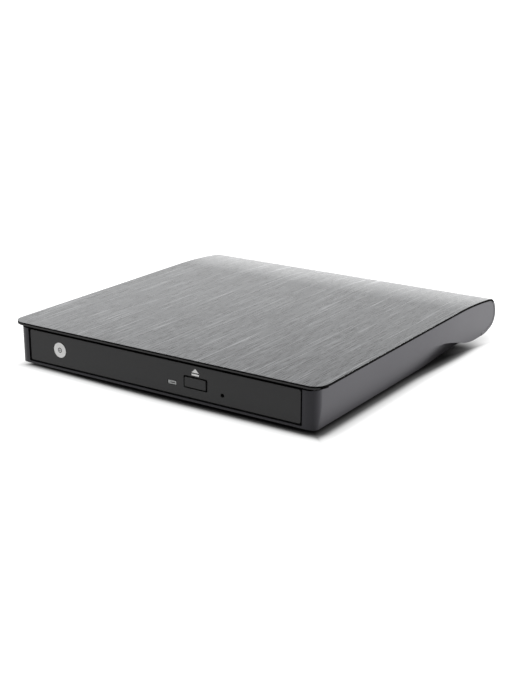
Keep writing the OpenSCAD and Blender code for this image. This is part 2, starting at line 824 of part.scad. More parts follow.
module disc_tray() {
  flange_hw = button_w / 2 + flange_over + 0.4;
  flange_hh = button_h / 2 + flange_over + 0.4;
  pocket = flange_t + button_travel + 0.4;
  color([0.15, 0.15, 0.16])
    difference() {
      union() {
        translate([0, 0, z_deck_low])
          linear_extrude(z_rim - z_deck_low)
            tray_outline(0);
        both()
          span([skirt_x0, y_tray, z_mech], [skirt_x1, cut_y - 1, z_deck_low + eps]);
        mirror([1, 0, 0])
          span([skirt_x0, cut_y - 2, z_mech], [skirt_x1, tray_back - 2, z_deck_low + eps]);
        both()
          span([skirt_x0, rail_y, z_runner], [runner_x1, cut_y - 2, z_runner + runner_h]);
        mirror([1, 0, 0])
          span([skirt_x0, cut_y - 3, z_runner], [runner_x1, tray_back - 6, z_runner + runner_h]);
        span([-skirt_x1, y_tray, z_mech], [skirt_x1, y_tray + wall_front_t, z_deck_low + eps]);
        traverse()
          for (p = damper_at)
            translate([p[0], p[1], z_plate - plate_t])
              cylinder(r = 1.2, h = 3 * plate_t + eps);
        translate([latch_x, latch_y, z_latch - 0.1])
          cylinder(r = latch_pin_r, h = z_deck_low - z_latch + 0.1 + eps);
      }
      translate([0, y_disc, z_deck])
        cylinder(r = recess_r, h = 10);
      translate([0, 0, z_deck_low - eps])
        linear_extrude(z_rim - z_deck_low - 1.2)
          difference() {
            tray_outline(1.6);
            translate([0, y_disc])
              circle(r = recess_r + 1.6);
            translate([-30, y_tray - 1])
              square([60, drive_d + 2]);
          }
      traverse()
        translate([0, 0, z_deck_low - eps]) {
          cylinder(r = hub_hole_r, h = deck_t + 1);
          translate([0, -window_hw, 0])
            cube([window_end, 2 * window_hw, deck_t + 0.3]);
        }
      traverse()
        for (p = damper_at)
          translate([p[0], p[1], z_plate - 2])
            cylinder(r = 0.8, h = 3.6);
      span([button_x - flange_hw, y_tray - 1, z_button - flange_hh],
        [button_x + flange_hw, y_tray + pocket, z_button + flange_hh]);
      span([led_x - led_w / 2 - 0.9, y_tray - 1, z_led - led_h / 2 - 0.7],
        [led_x + led_w / 2 + 0.9, y_tray + wall_front_t + 0.2, z_deck_low]);
      translate([pin_x, y_tray - 1, z_pin])
        rotate([-90, 0, 0])
          cylinder(r = pin_r + 0.25, h = wall_front_t + 2);
    }
}

module front_bezel() {
  color([0.13, 0.13, 0.14])
    difference() {
      translate([0, 0, z_bezel + bezel_h / 2])
        along_y(y_bezel, bezel_t)
          rounded(bezel_w, bezel_h, bezel_r);
      span([button_x - button_w / 2 - button_gap, y_bezel - 1, z_button - button_h / 2 - button_gap],
        [button_x + button_w / 2 + button_gap, y_tray + 1, z_button + button_h / 2 + button_gap]);
      span([led_x - led_w / 2, y_bezel - 1, z_led - led_h / 2],
        [led_x + led_w / 2, y_tray + 1, z_led + led_h / 2]);
      translate([pin_x, y_bezel - 1, z_pin])
        rotate([-90, 0, 0])
          cylinder(r = pin_r, h = bezel_t + 2);
    }
}

module led_lens() {
  color([0.8, 0.82, 0.82]) {
    span([led_x - led_w / 2, y_bezel, z_led - led_h / 2], [led_x + led_w / 2, y_tray, z_led + led_h / 2]);
    span([led_x - led_w / 2 - 0.5, y_tray, z_led - led_h / 2 - 0.4],
      [led_x + led_w / 2 + 0.5, y_tray + 1.2, z_deck_low - 0.2]);
  }
}

module status_led() {
  color([0.85, 0.85, 0.75])
    span([led_x - 1, y_tray + 1.8, z_tray_board + board_t],
      [led_x + 1, y_tray + 3, z_tray_board + board_t + 0.9]);
}

module tray_board() {
  color([0.1, 0.32, 0.2])
    span([led_x - 5.1, y_tray + wall_front_t + 0.3, z_tray_board],
      [button_x + 9.15, y_tray + 10, z_tray_board + board_t]);
}

module eject_switch() {
  color([0.75, 0.75, 0.72])
    span([button_x - 3, switch_y, z_tray_board + board_t], [button_x + 3, switch_y + 2.6, z_deck_low - 0.2]);
}

module tray_shield() {
  x1 = latch_x - 0.5;
  y1 = board_y0 - 6;
  color([0.7, 0.71, 0.73])
    translate([0, 0, z_shield])
      linear_extrude(shield_t)
        polygon([[-skirt_x1, y_tray + 0.2], [x1, y_tray + 0.2], [x1, y1], [6, y1], [6, ribbon_end + 2],
          [-skirt_x1, ribbon_end + 2]]);
}

module traverse_plate() {
  color([0.6, 0.61, 0.63])
    traverse()
      translate([0, 0, z_plate])
        linear_extrude(plate_t)
          difference() {
            polygon([[-21, -10], [-14, -19], [rod_out - 8.2, -screw_off - 3.8], [rod_out + 2.3, -rod_off - 1],
              [rod_out + 2.3, rod_off + 1], [rod_out - 6.2, screw_off + 4], [0, screw_off + 6],
              [-13, screw_off + 3], [-21, 9]]);
            circle(r = rotor_r + 1.7);
            translate([rotor_r - 1, -window_hw])
              square([window_end - rotor_r + 1, 2 * window_hw]);
            translate([screw_in - 10.4, screw_off - 2.5])
              square([10.6, 5]);
            translate([screw_in + 0.1, screw_off - screw_r - 0.4])
              square([screw_out - screw_in - 0.2, 2 * screw_r + 0.8]);
            for (p = damper_at)
              translate(p)
                circle(r = 2.1);
            for (p = standoff_at)
              translate(p)
                circle(r = 0.8);
          }
}

// Rubber rings with a waist that holds the traverse plate
module dampers() {
  z0 = z_plate - plate_t;
  color([0.1, 0.1, 0.1])
    traverse()
      for (p = damper_at)
        translate([p[0], p[1], z0])
          rotate_extrude()
            polygon([[1.3, 0], [2.8, 0], [2.8, plate_t], [2, plate_t], [2, 2 * plate_t], [2.8, 2 * plate_t],
              [2.8, 3 * plate_t], [1.3, 3 * plate_t]]);
}

module damper_screws() {
  z0 = z_plate - plate_t;
  color([0.6, 0.6, 0.62])
    traverse()
      for (p = damper_at)
        translate([p[0], p[1], z0]) {
          translate([0, 0, -0.7])
            cylinder(r = 2.2, h = 0.7);
          translate([0, 0, -0.2])
            cylinder(r = 0.75, h = 2);
        }
}

module spindle_motor() {
  z1 = z_motor + motor_t;
  housing_r = shaft_r + 1.8;
  core_r = rotor_r - 1.7;
  core_top = z_can_top - can_t - 0.5;
  color([0.56, 0.57, 0.6])
    traverse()
      difference() {
        union() {
          translate([0, 0, z_motor])
            cylinder(r = rotor_r + 0.6, h = motor_t);
          for (p = standoff_at) {
            translate([p[0], p[1], z_motor])
              cylinder(r = 2, h = z_plate - z_motor);
            translate([0, 0, z_motor])
              linear_extrude(motor_t)
                rotate(atan2(p[1], p[0]))
                  translate([0, -1.6])
                    square([norm(p), 3.2]);
          }
          translate([0, 0, z_motor])
            cylinder(r = housing_r, h = core_top + 0.1 - z_motor);
          difference() {
            translate([0, 0, z1 + 0.4])
              cylinder(r = core_r, h = core_top - z1 - 0.4);
            for (i = [0:8])
              rotate(i * 40)
                translate([housing_r + 1.2, -0.9, z1])
                  cube([core_r, 1.8, core_top]);
          }
        }
        translate([0, 0, z_motor + 0.3])
          cylinder(r = shaft_r + run_gap, h = 10);
        for (p = standoff_at)
          translate([p[0], p[1], z_plate - 2])
            cylinder(r = 0.75, h = 3);
      }
}

module motor_screws() {
  color([0.6, 0.6, 0.62])
    traverse()
      for (p = standoff_at)
        translate([p[0], p[1], z_plate - 1.8]) {
          cylinder(r = 0.7, h = plate_t + 1.9);
          translate([0, 0, plate_t + 1.8])
            cylinder(r = 1.5, h = 0.5);
        }
}

module guide_rods() {
  color([0.8, 0.81, 0.83])
    traverse()
      for (w = [-rod_off, rod_off])
        rod_along(rod_in + 0.1, rod_out + 1.4, w, z_rod, rod_r);
}

module rod_holders() {
  z0 = z_rod - 1.3;
  color([0.3, 0.3, 0.32])
    traverse()
      difference() {
        for (s = [rod_in, rod_out])
          for (w = [-rod_off, rod_off])
            span([s, w - 1.6, z0], [s + 1.6, w + 1.6, z_plate]);
        for (w = [-rod_off, rod_off])
          rod_along(rod_in - 1, rod_out + 3, w, z_rod, rod_r + 0.02);
      }
}

module sled_motor() {
  color([0.66, 0.67, 0.69])
    traverse()
      difference() {
        union() {
          rod_along(screw_in - 10, screw_in, screw_off, z_screw, 2.2);
          span([screw_in - 0.5, screw_off - 3.3, z_screw - 2], [screw_in, screw_off + 4.2, z_plate]);
        }
        rod_along(screw_in - 1.6, screw_in + 1, screw_off, z_screw, 0.7 + run_gap);
      }
}

module screw_bracket() {
  color([0.5, 0.51, 0.54])
    traverse()
      difference() {
        span([screw_out, screw_off - 2, z_screw - 1.3], [screw_out + 1.4, screw_off + 2, z_plate]);
        rod_along(screw_out - 1, screw_out + 3, screw_off, z_screw, 0.7 + run_gap);
      }
}

module lead_screw() {
  color([0.82, 0.83, 0.85])
    traverse() {
      rod_along(screw_in - 1.4, screw_out + 1.2, screw_off, z_screw, 0.7);
      rod_along(screw_in + 0.3, screw_out - 0.3, screw_off, z_screw, screw_r);
    }
}

module latch_solenoid() {
  y0 = plunger_y + 3.2;
  z_axis = z_latch + latch_t / 2 + 0.6;
  color([0.72, 0.45, 0.2])
    difference() {
      span([plunger_x - 4.6, y0, z_mech], [plunger_x + 4.6, y0 + 9, z_deck_low - 0.4]);
      translate([plunger_x, y0 - 1, z_axis])
        rotate([-90, 0, 0])
          cylinder(r = plunger_r + run_gap, h = 8);
    }
}

module latch_plunger() {
  z_axis = z_latch + latch_t / 2 + 0.6;
  color([0.8, 0.81, 0.83])
    translate([plunger_x, 0, z_axis]) {
      translate([0, plunger_y, 0])
        rotate([-90, 0, 0])
          cylinder(r = plunger_r, h = 6.6);
      translate([0, plunger_y, 0])
        rotate([-90, 0, 0])
          cylinder(r = plunger_r + 0.3, h = 0.6);
    }
}

// Lever with a hook for the latch post and a tab behind the pinhole
module latch_lever() {
  tab = pin_x - latch_x;
  color([0.85, 0.84, 0.8])
    translate([latch_x, latch_y, 0])
      difference() {
        union() {
          translate([0, 0, z_latch])
            linear_extrude(latch_t) {
              circle(r = latch_pin_r + 1.3);
              polygon([[-1.6, 0], [1.6, 0], [2.7, -7.4], [3.8, -7.6], [3.8, -8.2], [0.7, -8.8]]);
              polygon([[0, 1.5], [0, -1.5], [tab + 1.4, -9.6], [tab - 1.4, -9.6], [tab - 1.4, -7.4],
                [tab + 2.6, -7]]);
              translate([-8, -2])
                square([7.5, 2.4]);
            }
          span([tab - 1.4, -9.6, z_latch], [tab + 1.4, -8.2, z_deck_low - 0.6]);
          span([-7.6, -1.2, z_latch], [-5.4, 0.4, z_latch + latch_t + 1]);
        }
        translate([0, 0, z_latch - 1])
          cylinder(r = latch_pin_r + run_gap, h = 5);
      }
}

// Button with a flange behind the bezel and a stem to the switch
module eject_button() {
  stem_z = z_tray_board + board_t + 0.5;
  color([0.16, 0.16, 0.17]) {
    translate([button_x, 0, z_button])
      along_y(y_bezel - button_proud, bezel_t + button_proud + 0.15)
        rounded(button_w, button_h, 0.4);
    translate([button_x, 0, z_button])
      along_y(y_tray + 0.1, flange_t)
        square([button_w + 2 * flange_over, button_h + 2 * flange_over], center = true);
    span([button_x - 1.6, y_tray + 0.3, stem_z],
      [button_x + 1.6, switch_y - button_travel - 0.1, stem_z + 1.1]);
  }
}

// Spindle
module rotor() {
  color([0.75, 0.76, 0.78])
    traverse()
      rotate_extrude()
        polygon([[0, z_motor + 0.5], [shaft_r, z_motor + 0.5], [shaft_r, z_can_top - can_t],
          [rotor_r - 0.8, z_can_top - can_t], [rotor_r - 0.8, z_can], [rotor_r, z_can],
          [rotor_r, z_can_top], [0, z_can_top]]);
}

module turntable() {
  color([0.2, 0.2, 0.21])
    traverse()
      rotate_extrude()
        polygon([[hub_r - 0.5, z_can_top], [table_r - 2, z_can_top], [table_r - 2, z_table],
          [table_r, z_table], [table_r, z_table_top], [hub_r - 0.5, z_table_top]]);
}

// Hub that takes the disc's hole, with a slot for each claw
module centre_hub() {
  slot_r = claw_back - claw_travel - 0.2;
  slot_top = claw_t + 2 * claw_gap;
  color([0.24, 0.24, 0.25])
    traverse()
      difference() {
        rotate_extrude()
          polygon([[0, z_can_top], [hub_r - 0.5, z_can_top], [hub_r - 0.5, z_hub_low], [hub_r, z_hub_low],
            [hub_r, z_hub], [hub_r - 0.6, z_hub], [hub_r - 0.6, z_hub + 1], [hub_r - 1.8, z_hub + 1.5],
            [0, z_hub + 1.5]]);
        for (i = [0:2])
          rotate(60 + i * 120)
            translate([slot_r, -claw_w / 2 - 0.15, z_hub])
              cube([hub_r, claw_w + 0.3, slot_top]);
      }
}

module hub_pad() {
  color([0.07, 0.07, 0.07])
    traverse()
      translate([0, 0, z_table_top])
        rotate_extrude()
          translate([table_r - 3.2, 0])
            square([2.8, pad_t]);
}

module claw(turn) {
  tip = hub_r + claw_reach;
  z0 = z_hub + claw_gap;
  color([0.9, 0.88, 0.82])
    traverse()
      rotate(turn)
        translate([0, 0, z0])
          rotate([90, 0, 0])
            linear_extrude(claw_w, center = true)
              polygon([[claw_back, 0], [tip - 0.35, 0], [tip, 0.25], [tip - 0.5, claw_t],
                [claw_back, claw_t]]);
}

module claw_a() {
  claw(60);
}

module claw_b() {
  claw(180);
}

module claw_c() {
  claw(300);
}

// Pickup with bushings on both guide rods
module pickup() {
  s0 = lens_at - pickup_in;
  s1 = lens_at + pickup_out;
  color([0.46, 0.47, 0.5])
    traverse()
      difference() {
        union() {
          span([s0, -pickup_hw, z_pickup], [s1, pickup_hw, z_pickup_top]);
          for (s = [s0 + 1, s1 - 5]) {
            rod_along(s, s + 4, rod_off, z_rod, bush_r);
            span([s, pickup_hw - 1, z_rod - 1], [s + 4, rod_off, z_rod + 1]);
          }
          rod_along(lens_at - 2, lens_at + 2, -rod_off, z_rod, bush_r);
          span([lens_at - 2, -rod_off, z_rod - 1], [lens_at + 2, 1 - pickup_hw, z_rod + 1]);
        }
        for (w = [-rod_off, rod_off])
          rod_along(s0 - 1, s1 + 1, w, z_rod, rod_r + run_gap);
        span([lens_at - 4.9, -5.9, z_pickup_top - 2], [lens_at + 4.9, 5.9, z_pickup_top + 1]);
      }
}

module screw_follower() {
  s0 = lens_at - pickup_in + 0.5;
  color([0.88, 0.87, 0.83])
    traverse()
      difference() {
        span([s0, rod_off + bush_r + 0.05, z_rod - 0.4], [s0 + 2.4, screw_off + 0.2, z_plate - 0.3]);
        rod_along(s0 - 1, s0 + 4, screw_off, z_screw, screw_r + run_gap);
      }
}

module lens_holder() {
  color([0.12, 0.12, 0.13])
    traverse()
      difference() {
        span([lens_at - 4.2, -5.2, z_pickup_top - 1.5], [lens_at + 4.2, 5.2, z_pickup_top - 0.1]);
        translate([lens_at, 0, z_pickup_top - 2])
          cylinder(r = lens_r - 0.4, h = 4);
      }
}

module objective_lens() {
  color([0.55, 0.65, 0.8])
    traverse()
      translate([lens_at, 0, z_pickup_top - 0.1])
        rotate_extrude()
          polygon(concat([[0, 0], [lens_r, 0], [lens_r, 0.1]],
            [for (i = [1:6]) [lens_r * cos(15 * i), 0.1 + 0.4 * sin(15 * i)]]));
}

// Each line draws one sub-part
top_cover();
base_case();
rubber_feet();
drive_screws();
bridge_board();
bridge_chips();
bridge_screws();
usb_shell();
usb_tongue();
sata_plug();
drive_pan();
drive_lid();
left_guide();
right_guide();
drive_board();
drive_chips();
ribbon_socket();
tray_ribbon();
sata_socket();
latch_post();
left_rail();
right_rail();
disc_tray();
front_bezel();
led_lens();
status_led();
tray_board();
eject_switch();
tray_shield();
traverse_plate();
dampers();
damper_screws();
spindle_motor();
motor_screws();
guide_rods();
rod_holders();
sled_motor();
screw_bracket();
latch_solenoid();
eject_button();
rotor();
turntable();
centre_hub();
hub_pad();
claw_a();
claw_b();
claw_c();
pickup();
screw_follower();
lens_holder();
objective_lens();
lead_screw();
latch_lever();
latch_plunger();
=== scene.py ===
import json
import math

import bmesh
import bpy
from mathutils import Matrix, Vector


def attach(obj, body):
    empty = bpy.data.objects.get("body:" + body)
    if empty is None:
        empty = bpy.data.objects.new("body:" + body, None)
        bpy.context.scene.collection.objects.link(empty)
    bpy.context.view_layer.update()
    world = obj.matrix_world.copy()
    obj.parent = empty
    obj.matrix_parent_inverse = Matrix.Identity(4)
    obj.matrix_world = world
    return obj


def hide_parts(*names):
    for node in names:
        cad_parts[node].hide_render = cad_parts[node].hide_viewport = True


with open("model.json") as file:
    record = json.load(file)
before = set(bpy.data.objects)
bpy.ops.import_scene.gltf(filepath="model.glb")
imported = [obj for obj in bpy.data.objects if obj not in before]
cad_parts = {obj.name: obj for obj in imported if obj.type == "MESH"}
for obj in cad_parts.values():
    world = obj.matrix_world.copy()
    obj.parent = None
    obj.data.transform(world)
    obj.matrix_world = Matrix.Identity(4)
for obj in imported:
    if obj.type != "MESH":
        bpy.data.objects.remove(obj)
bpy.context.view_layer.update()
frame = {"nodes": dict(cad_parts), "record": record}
NODES = frame["nodes"]
BODIES = frame["record"]["behaviour"]["bodies"]
BODY_OF = {node: body for body, nodes in BODIES.items() for node in nodes}
NODE_SLOT = {part["node"]: part["material_slot"] for part in frame["record"]["subparts"]}
MM = 0.001
QUARTER = math.pi / 2

# Sizes in millimetres: the CAD source's, with a few moved a little towards the photo.
# Cover: half width, height, ends, sheet, and the depths where the finish of its edge changes between
# painted shade, a painted reflection and the case's plastic
CASE_HW, CASE_H = 73.0, 19.0
Y_FRONT, Y_BACK = -75.0, 75.0
COVER_T, COVER_GAP, COVER_R, COVER_BEVEL = 1.2, 0.04, 5.6, 0.3
SHEET_IN = COVER_T + COVER_GAP
LIP_DEPTH, EDGE_DEPTH = 0.5 * COVER_T, 0.8 * COVER_T
# Base: how far its sides and their lower edge stand in from the cover, at the front and at the tail
SIDE_OVER, TAIL_OVER = 2.4, 0.08
TUCK_FRONT, TUCK_TAIL = 0.5, 2.0
BASE_LIFT, BASE_R, FRAME_T = 1.6, 4.6, 2.4
FRONT_TUCK, FRONT_RISE, SIDE_RISE = 2.0, 0.55, 0.25
Z_FLOOR, Z_SILL = 2.6, 2.95
Y_BASE, Y_BEZEL, Y_TRAY, Y_REAR = -74.0, -73.7, -71.4, 55.1
REVEAL_H, REVEAL_D = 1.1, 1.4
RAMP_LEN, HOOK_GAP = 3.0, 0.2
# Tail: the sheet's slow fall, the nose above and below its tip, and the lobe back under it
TAIL_LEN, TAIL_R, NOSE_R, LOW_R, LOBE_R, TAIL_CLEAR = 37.0, 250.0, 7.5, 6.0, 30.0, 2.3
# Wings: two tangent arcs from the tail's underside up into the sides
WING_LOW, WING_LOBE_R, WING_SLOPE, WING_FADE_R = 20.0, 48.0, math.radians(17), 150.0
# Front: bezel, eject button, light window and pinhole
BEZEL_HW, BEZEL_GAP, Z_BEZEL, BEZEL_H, BEZEL_R = 64.3, 0.6, 3.65, 12.7, 0.8
BUTTON_X, BUTTON_W, BUTTON_H, BUTTON_GAP, Z_BUTTON, PROUD = 18.5, 9.8, 3.84, 0.54, 9.55, 0.32
LED_X, LED_W, LED_H, LED_R, Z_LED = 7.6, 4.2, 1.8, 0.25, 7.95
PIN_X, PIN_R, Z_PIN = 30.7, 0.8, 7.3
# Back and underside: USB socket with its openings' margins, feet and screws
Z_USB, USB_W, USB_H, USB_COVER_MARGIN, USB_BASE_MARGIN = 8.8, 12.4, 3.0, 1.2, 1.4
FOOT_AT = [(x, y) for x in (-57.6, 57.6) for y in (-60.0, 36.0)]
SCREW_AT = [(x, y) for x in (-46.0, 46.0) for y in (-47.9, 32.1)]
# A height above the whole part, for cutters that are open at the top
ABOVE = 40.0

# Places that follow from these sizes; a centre is given as Y and Z
TAIL_Y = Y_BACK - TAIL_LEN
TAIL_A = math.asin((TAIL_LEN - NOSE_R) / (TAIL_R - NOSE_R))
NOSE_Z = CASE_H - TAIL_R * (1 - math.cos(TAIL_A)) - NOSE_R * math.cos(TAIL_A)
NOSE_C = (Y_BACK - NOSE_R, NOSE_Z)
LOW_C = (Y_BACK - LOW_R, NOSE_Z)
LOBE_A = math.asin((TAIL_CLEAR + LOBE_R - NOSE_Z) / (LOBE_R - LOW_R))
LOBE_C = (LOW_C[0] - (LOBE_R - LOW_R) * math.cos(LOBE_A), NOSE_Z + (LOBE_R - LOW_R) * math.sin(LOBE_A))
WRAP_END = LOBE_C[0]
WING_Y = Y_BACK - WING_LOW
TURN_Y = WING_Y - WING_LOBE_R * math.sin(WING_SLOPE)
TURN_Z = TAIL_CLEAR + WING_LOBE_R * (1 - math.cos(WING_SLOPE))
FADE_Y = TURN_Y - WING_FADE_R * math.sin(WING_SLOPE)
FADE_Z = TURN_Z - WING_FADE_R * math.cos(WING_SLOPE)
# Where the sides start to flare and their lower edge to tuck in, and where both are done
FLARE_Y, TUCK_Y, FULL_Y = Y_FRONT + 35, Y_FRONT + 80, WING_Y - 15


def mix(a, b, share):
    """The value at a share of the way from a to b."""
    return a + (b - a) * share


def ease(share):
    """A share from 0 to 1 with a soft start and end."""
    u = max(0.0, min(1.0, share))
    return u * u * (3 - 2 * u)


def arc(centre, r, start, end, steps, first=0):
    """Points of an arc, angles in radians."""
    angles = [mix(start, end, i / steps) for i in range(first, steps + 1)]
    return [(centre[0] + r * math.cos(a), centre[1] + r * math.sin(a)) for a in angles]


# Materials
NOISE_LOW, NOISE_HIGH = 0.3, 0.7


class Graph:
    """A node tree with short calls for the few nodes that are used here."""

    def __init__(self, tree):
        self.nodes = tree.nodes
        self.links = tree.links
        self.coord = self.nodes.new("ShaderNodeTexCoord")

    def feed(self, socket, value):
        """Sets a socket to a number or a colour, or links it to an output."""
        if isinstance(value, (int, float)):
            socket.default_value = value
        elif isinstance(value, tuple):
            socket.default_value = (*value, 1)
        else:
            self.links.new(value, socket)

    def axes(self, space):
        """The coordinates of a space, under the names X, Y and Z."""
        node = self.nodes.new("ShaderNodeSeparateXYZ")
        self.links.new(self.coord.outputs[space], node.inputs["Vector"])
        return node.outputs

    def math(self, operation, *terms):
        """A math node over numbers and outputs."""
        node = self.nodes.new("ShaderNodeMath")
        node.operation = operation
        for socket, term in zip(node.inputs, terms):
            self.feed(socket, term)
        return node.outputs["Value"]

    def fold(self, operation, terms):
        """One operation over several terms, from the first on."""
        result = terms[0]
        for term in terms[1:]:
            result = self.math(operation, result, term)
        return result

    def weighted(self, a, share_a, b, share_b):
        """Sum of two values, each times its share."""
        return self.math("ADD", self.math("MULTIPLY", a, share_a), self.math("MULTIPLY", b, share_b))

    def span(self, source, low, high, from_low=NOISE_LOW, from_high=NOISE_HIGH, kind="LINEAR"):
        """Maps a value from one span to another."""
        node = self.nodes.new("ShaderNodeMapRange")
        node.interpolation_type = kind
        names = ("From Min", "From Max", "To Min", "To Max")
        for name, value in zip(names, (from_low, from_high, low, high)):
            node.inputs[name].default_value = value
        self.links.new(source, node.inputs["Value"])
        return node.outputs["Result"]

    def fade(self, source, from_low, from_high, low, high):
        """Maps a value from one span to another with soft ends."""
        return self.span(source, low, high, from_low, from_high, "SMOOTHSTEP")


class Finish(Graph):
    """A material's node tree with a principled shader."""

    def __init__(self, name, color, roughness, metallic=0.0, **sockets):
        self.mat = bpy.data.materials.new(name)
        self.mat.use_nodes = True
        super().__init__(self.mat.node_tree)
        self.shader = self.nodes["Principled BSDF"].inputs
        self.shader["Base Color"].default_value = (*color, 1)
        self.shader["Roughness"].default_value = roughness
        self.shader["Metallic"].default_value = metallic
        for key, value in sockets.items():
            self.shader[key.replace("_", " ")].default_value = value

    def noise(self, scale, detail=2.0, rough=0.5):
        """Noise whose scale, in cells a metre, is one number or one for each axis."""
        mapping = self.nodes.new("ShaderNodeMapping")
        mapping.inputs["Scale"].default_value = scale if isinstance(scale, tuple) else (scale,) * 3
        self.links.new(self.coord.outputs["Object"], mapping.inputs["Vector"])
        node = self.nodes.new("ShaderNodeTexNoise")
        node.inputs["Scale"].default_value = 1.0
        node.inputs["Detail"].default_value = detail
        node.inputs["Roughness"].default_value = rough
        self.links.new(mapping.outputs["Vector"], node.inputs["Vector"])
        return node.outputs["Fac"]

    def ramp(self, source, low, low_color, high, high_color):
        """Colour ramp between two places of a value."""
        node = self.nodes.new("ShaderNodeValToRGB")
        stops = ((low, low_color), (high, high_color))
        for element, (place, color) in zip(node.color_ramp.elements, stops):
            element.position = place
            element.color = (*color, 1)
        self.links.new(source, node.inputs["Fac"])
        return node.outputs["Color"]

    def tones(self, source, color, vary):
        """A colour that goes darker and lighter with a noise."""
        return self.ramp(source, NOISE_LOW, shade(color, 1 - vary), NOISE_HIGH, shade(color, 1 + vary))

    def blend(self, fac, a, b):
        """Goes from one colour to another with a value."""
        node = self.nodes.new("ShaderNodeMix")
        node.data_type = "RGBA"
        self.links.new(fac, node.inputs["Factor"])
        # A mix node holds sockets for each data type; these are the ones for colours
        self.feed(node.inputs[6], a)
        self.feed(node.inputs[7], b)
        return node.outputs[2]

    def link(self, socket, source):
        """Links an output to a socket of the shader."""
        self.links.new(source, self.shader[socket])

    def bump(self, height, distance_mm):
        """Relief of the given depth from a noise."""
        node = self.nodes.new("ShaderNodeBump")
        node.inputs["Strength"].default_value = 1.0
        node.inputs["Distance"].default_value = distance_mm * MM
        self.links.new(height, node.inputs["Height"])
        self.link("Normal", node.outputs["Normal"])


def shade(color, k):
    """A colour times a factor."""
    return tuple(min(1.0, c * k) for c in color)


def moulded(name, color, rough, grain_mm=0.25, bump_mm=0.006, vary=0.12, **sockets):
    """Moulded plastic or rubber with a fine texture and faint larger variation."""
    g = Finish(name, color, rough, **sockets)
    fine = g.noise(1 / (grain_mm * MM))
    wide = g.noise(90, 3)
    g.link("Base Color", g.tones(g.weighted(fine, 0.4, wide, 0.6), color, vary))
    g.link("Roughness", g.span(wide, rough - 0.03, rough + 0.05))
    g.bump(fine, bump_mm)
    return g.mat


def metal(name, color, rough, grain=(900, 40, 900)):
    """Sheet, cast or turned metal with a fine grain."""
    g = Finish(name, color, rough, 1.0)
    lines = g.noise(grain, 3)
    wide = g.noise(60, 3)
    g.link("Base Color", g.tones(g.weighted(lines, 0.6, wide, 0.4), color, 0.1))
    g.link("Roughness", g.span(lines, rough - 0.06, rough + 0.08))
    g.bump(lines, 0.002)
    return g.mat


def brushed_cover():
    """Dark brushed sheet: fine grain from front to back with soft lighter streaks."""
    base, white = (0.108, 0.1105, 0.114), (1.0, 1.0, 1.0)
    low, high = 0.42, 0.58
    g = Finish("brushed_cover", base, 0.3, 1.0)
    fine = g.noise((2600, 90, 90), 2, 0.6)
    hair = g.noise((4600, 260, 260), 2, 0.6)
    scratch = g.noise((2400, 27, 27), 1, 0.5)
    grain = g.weighted(fine, 0.5, hair, 0.5)
    body = g.ramp(grain, low, shade(base, 0.74), high, shade(base, 1.34))
    streak = g.span(scratch, 0, 1, 0.6, 0.77)
    g.link("Base Color", g.blend(streak, body, shade(base, 2.9)))
    sheen = g.ramp(grain, low, shade(white, 0.81), high, white)
    g.link("Specular Tint", g.blend(streak, sheen, white))
    g.link("Roughness", g.span(fine, 0.24, 0.36))
    g.bump(grain, 0.006)
    return g.mat


def case_plastic():
    """Smooth dark plastic whose front frame is satin like the bezel and darker in colour, which is painted
    shade.
    """
    # The front frame's colour is a darker copy of the sides' plastic: painted shade
    base, front = (0.021, 0.0195, 0.0225), (0.012, 0.012, 0.0125)
    front_end, side_start = (Y_BASE + 1.2) * MM, (Y_BASE + 5.0) * MM
    g = Finish("case_plastic", base, 0.24, Specular_Tint=(0.9, 0.89, 1.0, 1.0))
    fine = g.noise(2600)
    wide = g.noise(70, 3)
    sides = g.span(g.axes("Object")["Y"], 0, 1, front_end, side_start)
    g.link("Specular IOR Level", g.math("ADD", 0.32, g.math("MULTIPLY", sides, 0.35)))
    tone = g.tones(g.weighted(fine, 0.4, wide, 0.6), base, 0.1)
    g.link("Base Color", g.blend(sides, front, tone))
    g.link("Roughness", g.math("SUBTRACT", g.span(wide, 0.42, 0.46), g.math("MULTIPLY", sides, 0.08)))
    g.bump(fine, 0.0015)
    return g.mat


def board_green():
    """Solder resist in a pattern of darker lines and two greens."""
    g = Finish("board_green", (0.015, 0.09, 0.045), 0.4, Coat_Weight=0.3)
    node = g.nodes.new("ShaderNodeTexBrick")
    node.inputs["Scale"].default_value = 420
    g.feed(node.inputs["Color1"], (0.02, 0.13, 0.065))
    g.feed(node.inputs["Color2"], (0.012, 0.08, 0.04))
    g.feed(node.inputs["Mortar"], (0.01, 0.06, 0.03))
    g.links.new(g.coord.outputs["Object"], node.inputs["Vector"])
    g.link("Base Color", node.outputs["Color"])
    g.link("Roughness", g.span(g.noise(300), 0.3, 0.5))
    return g.mat


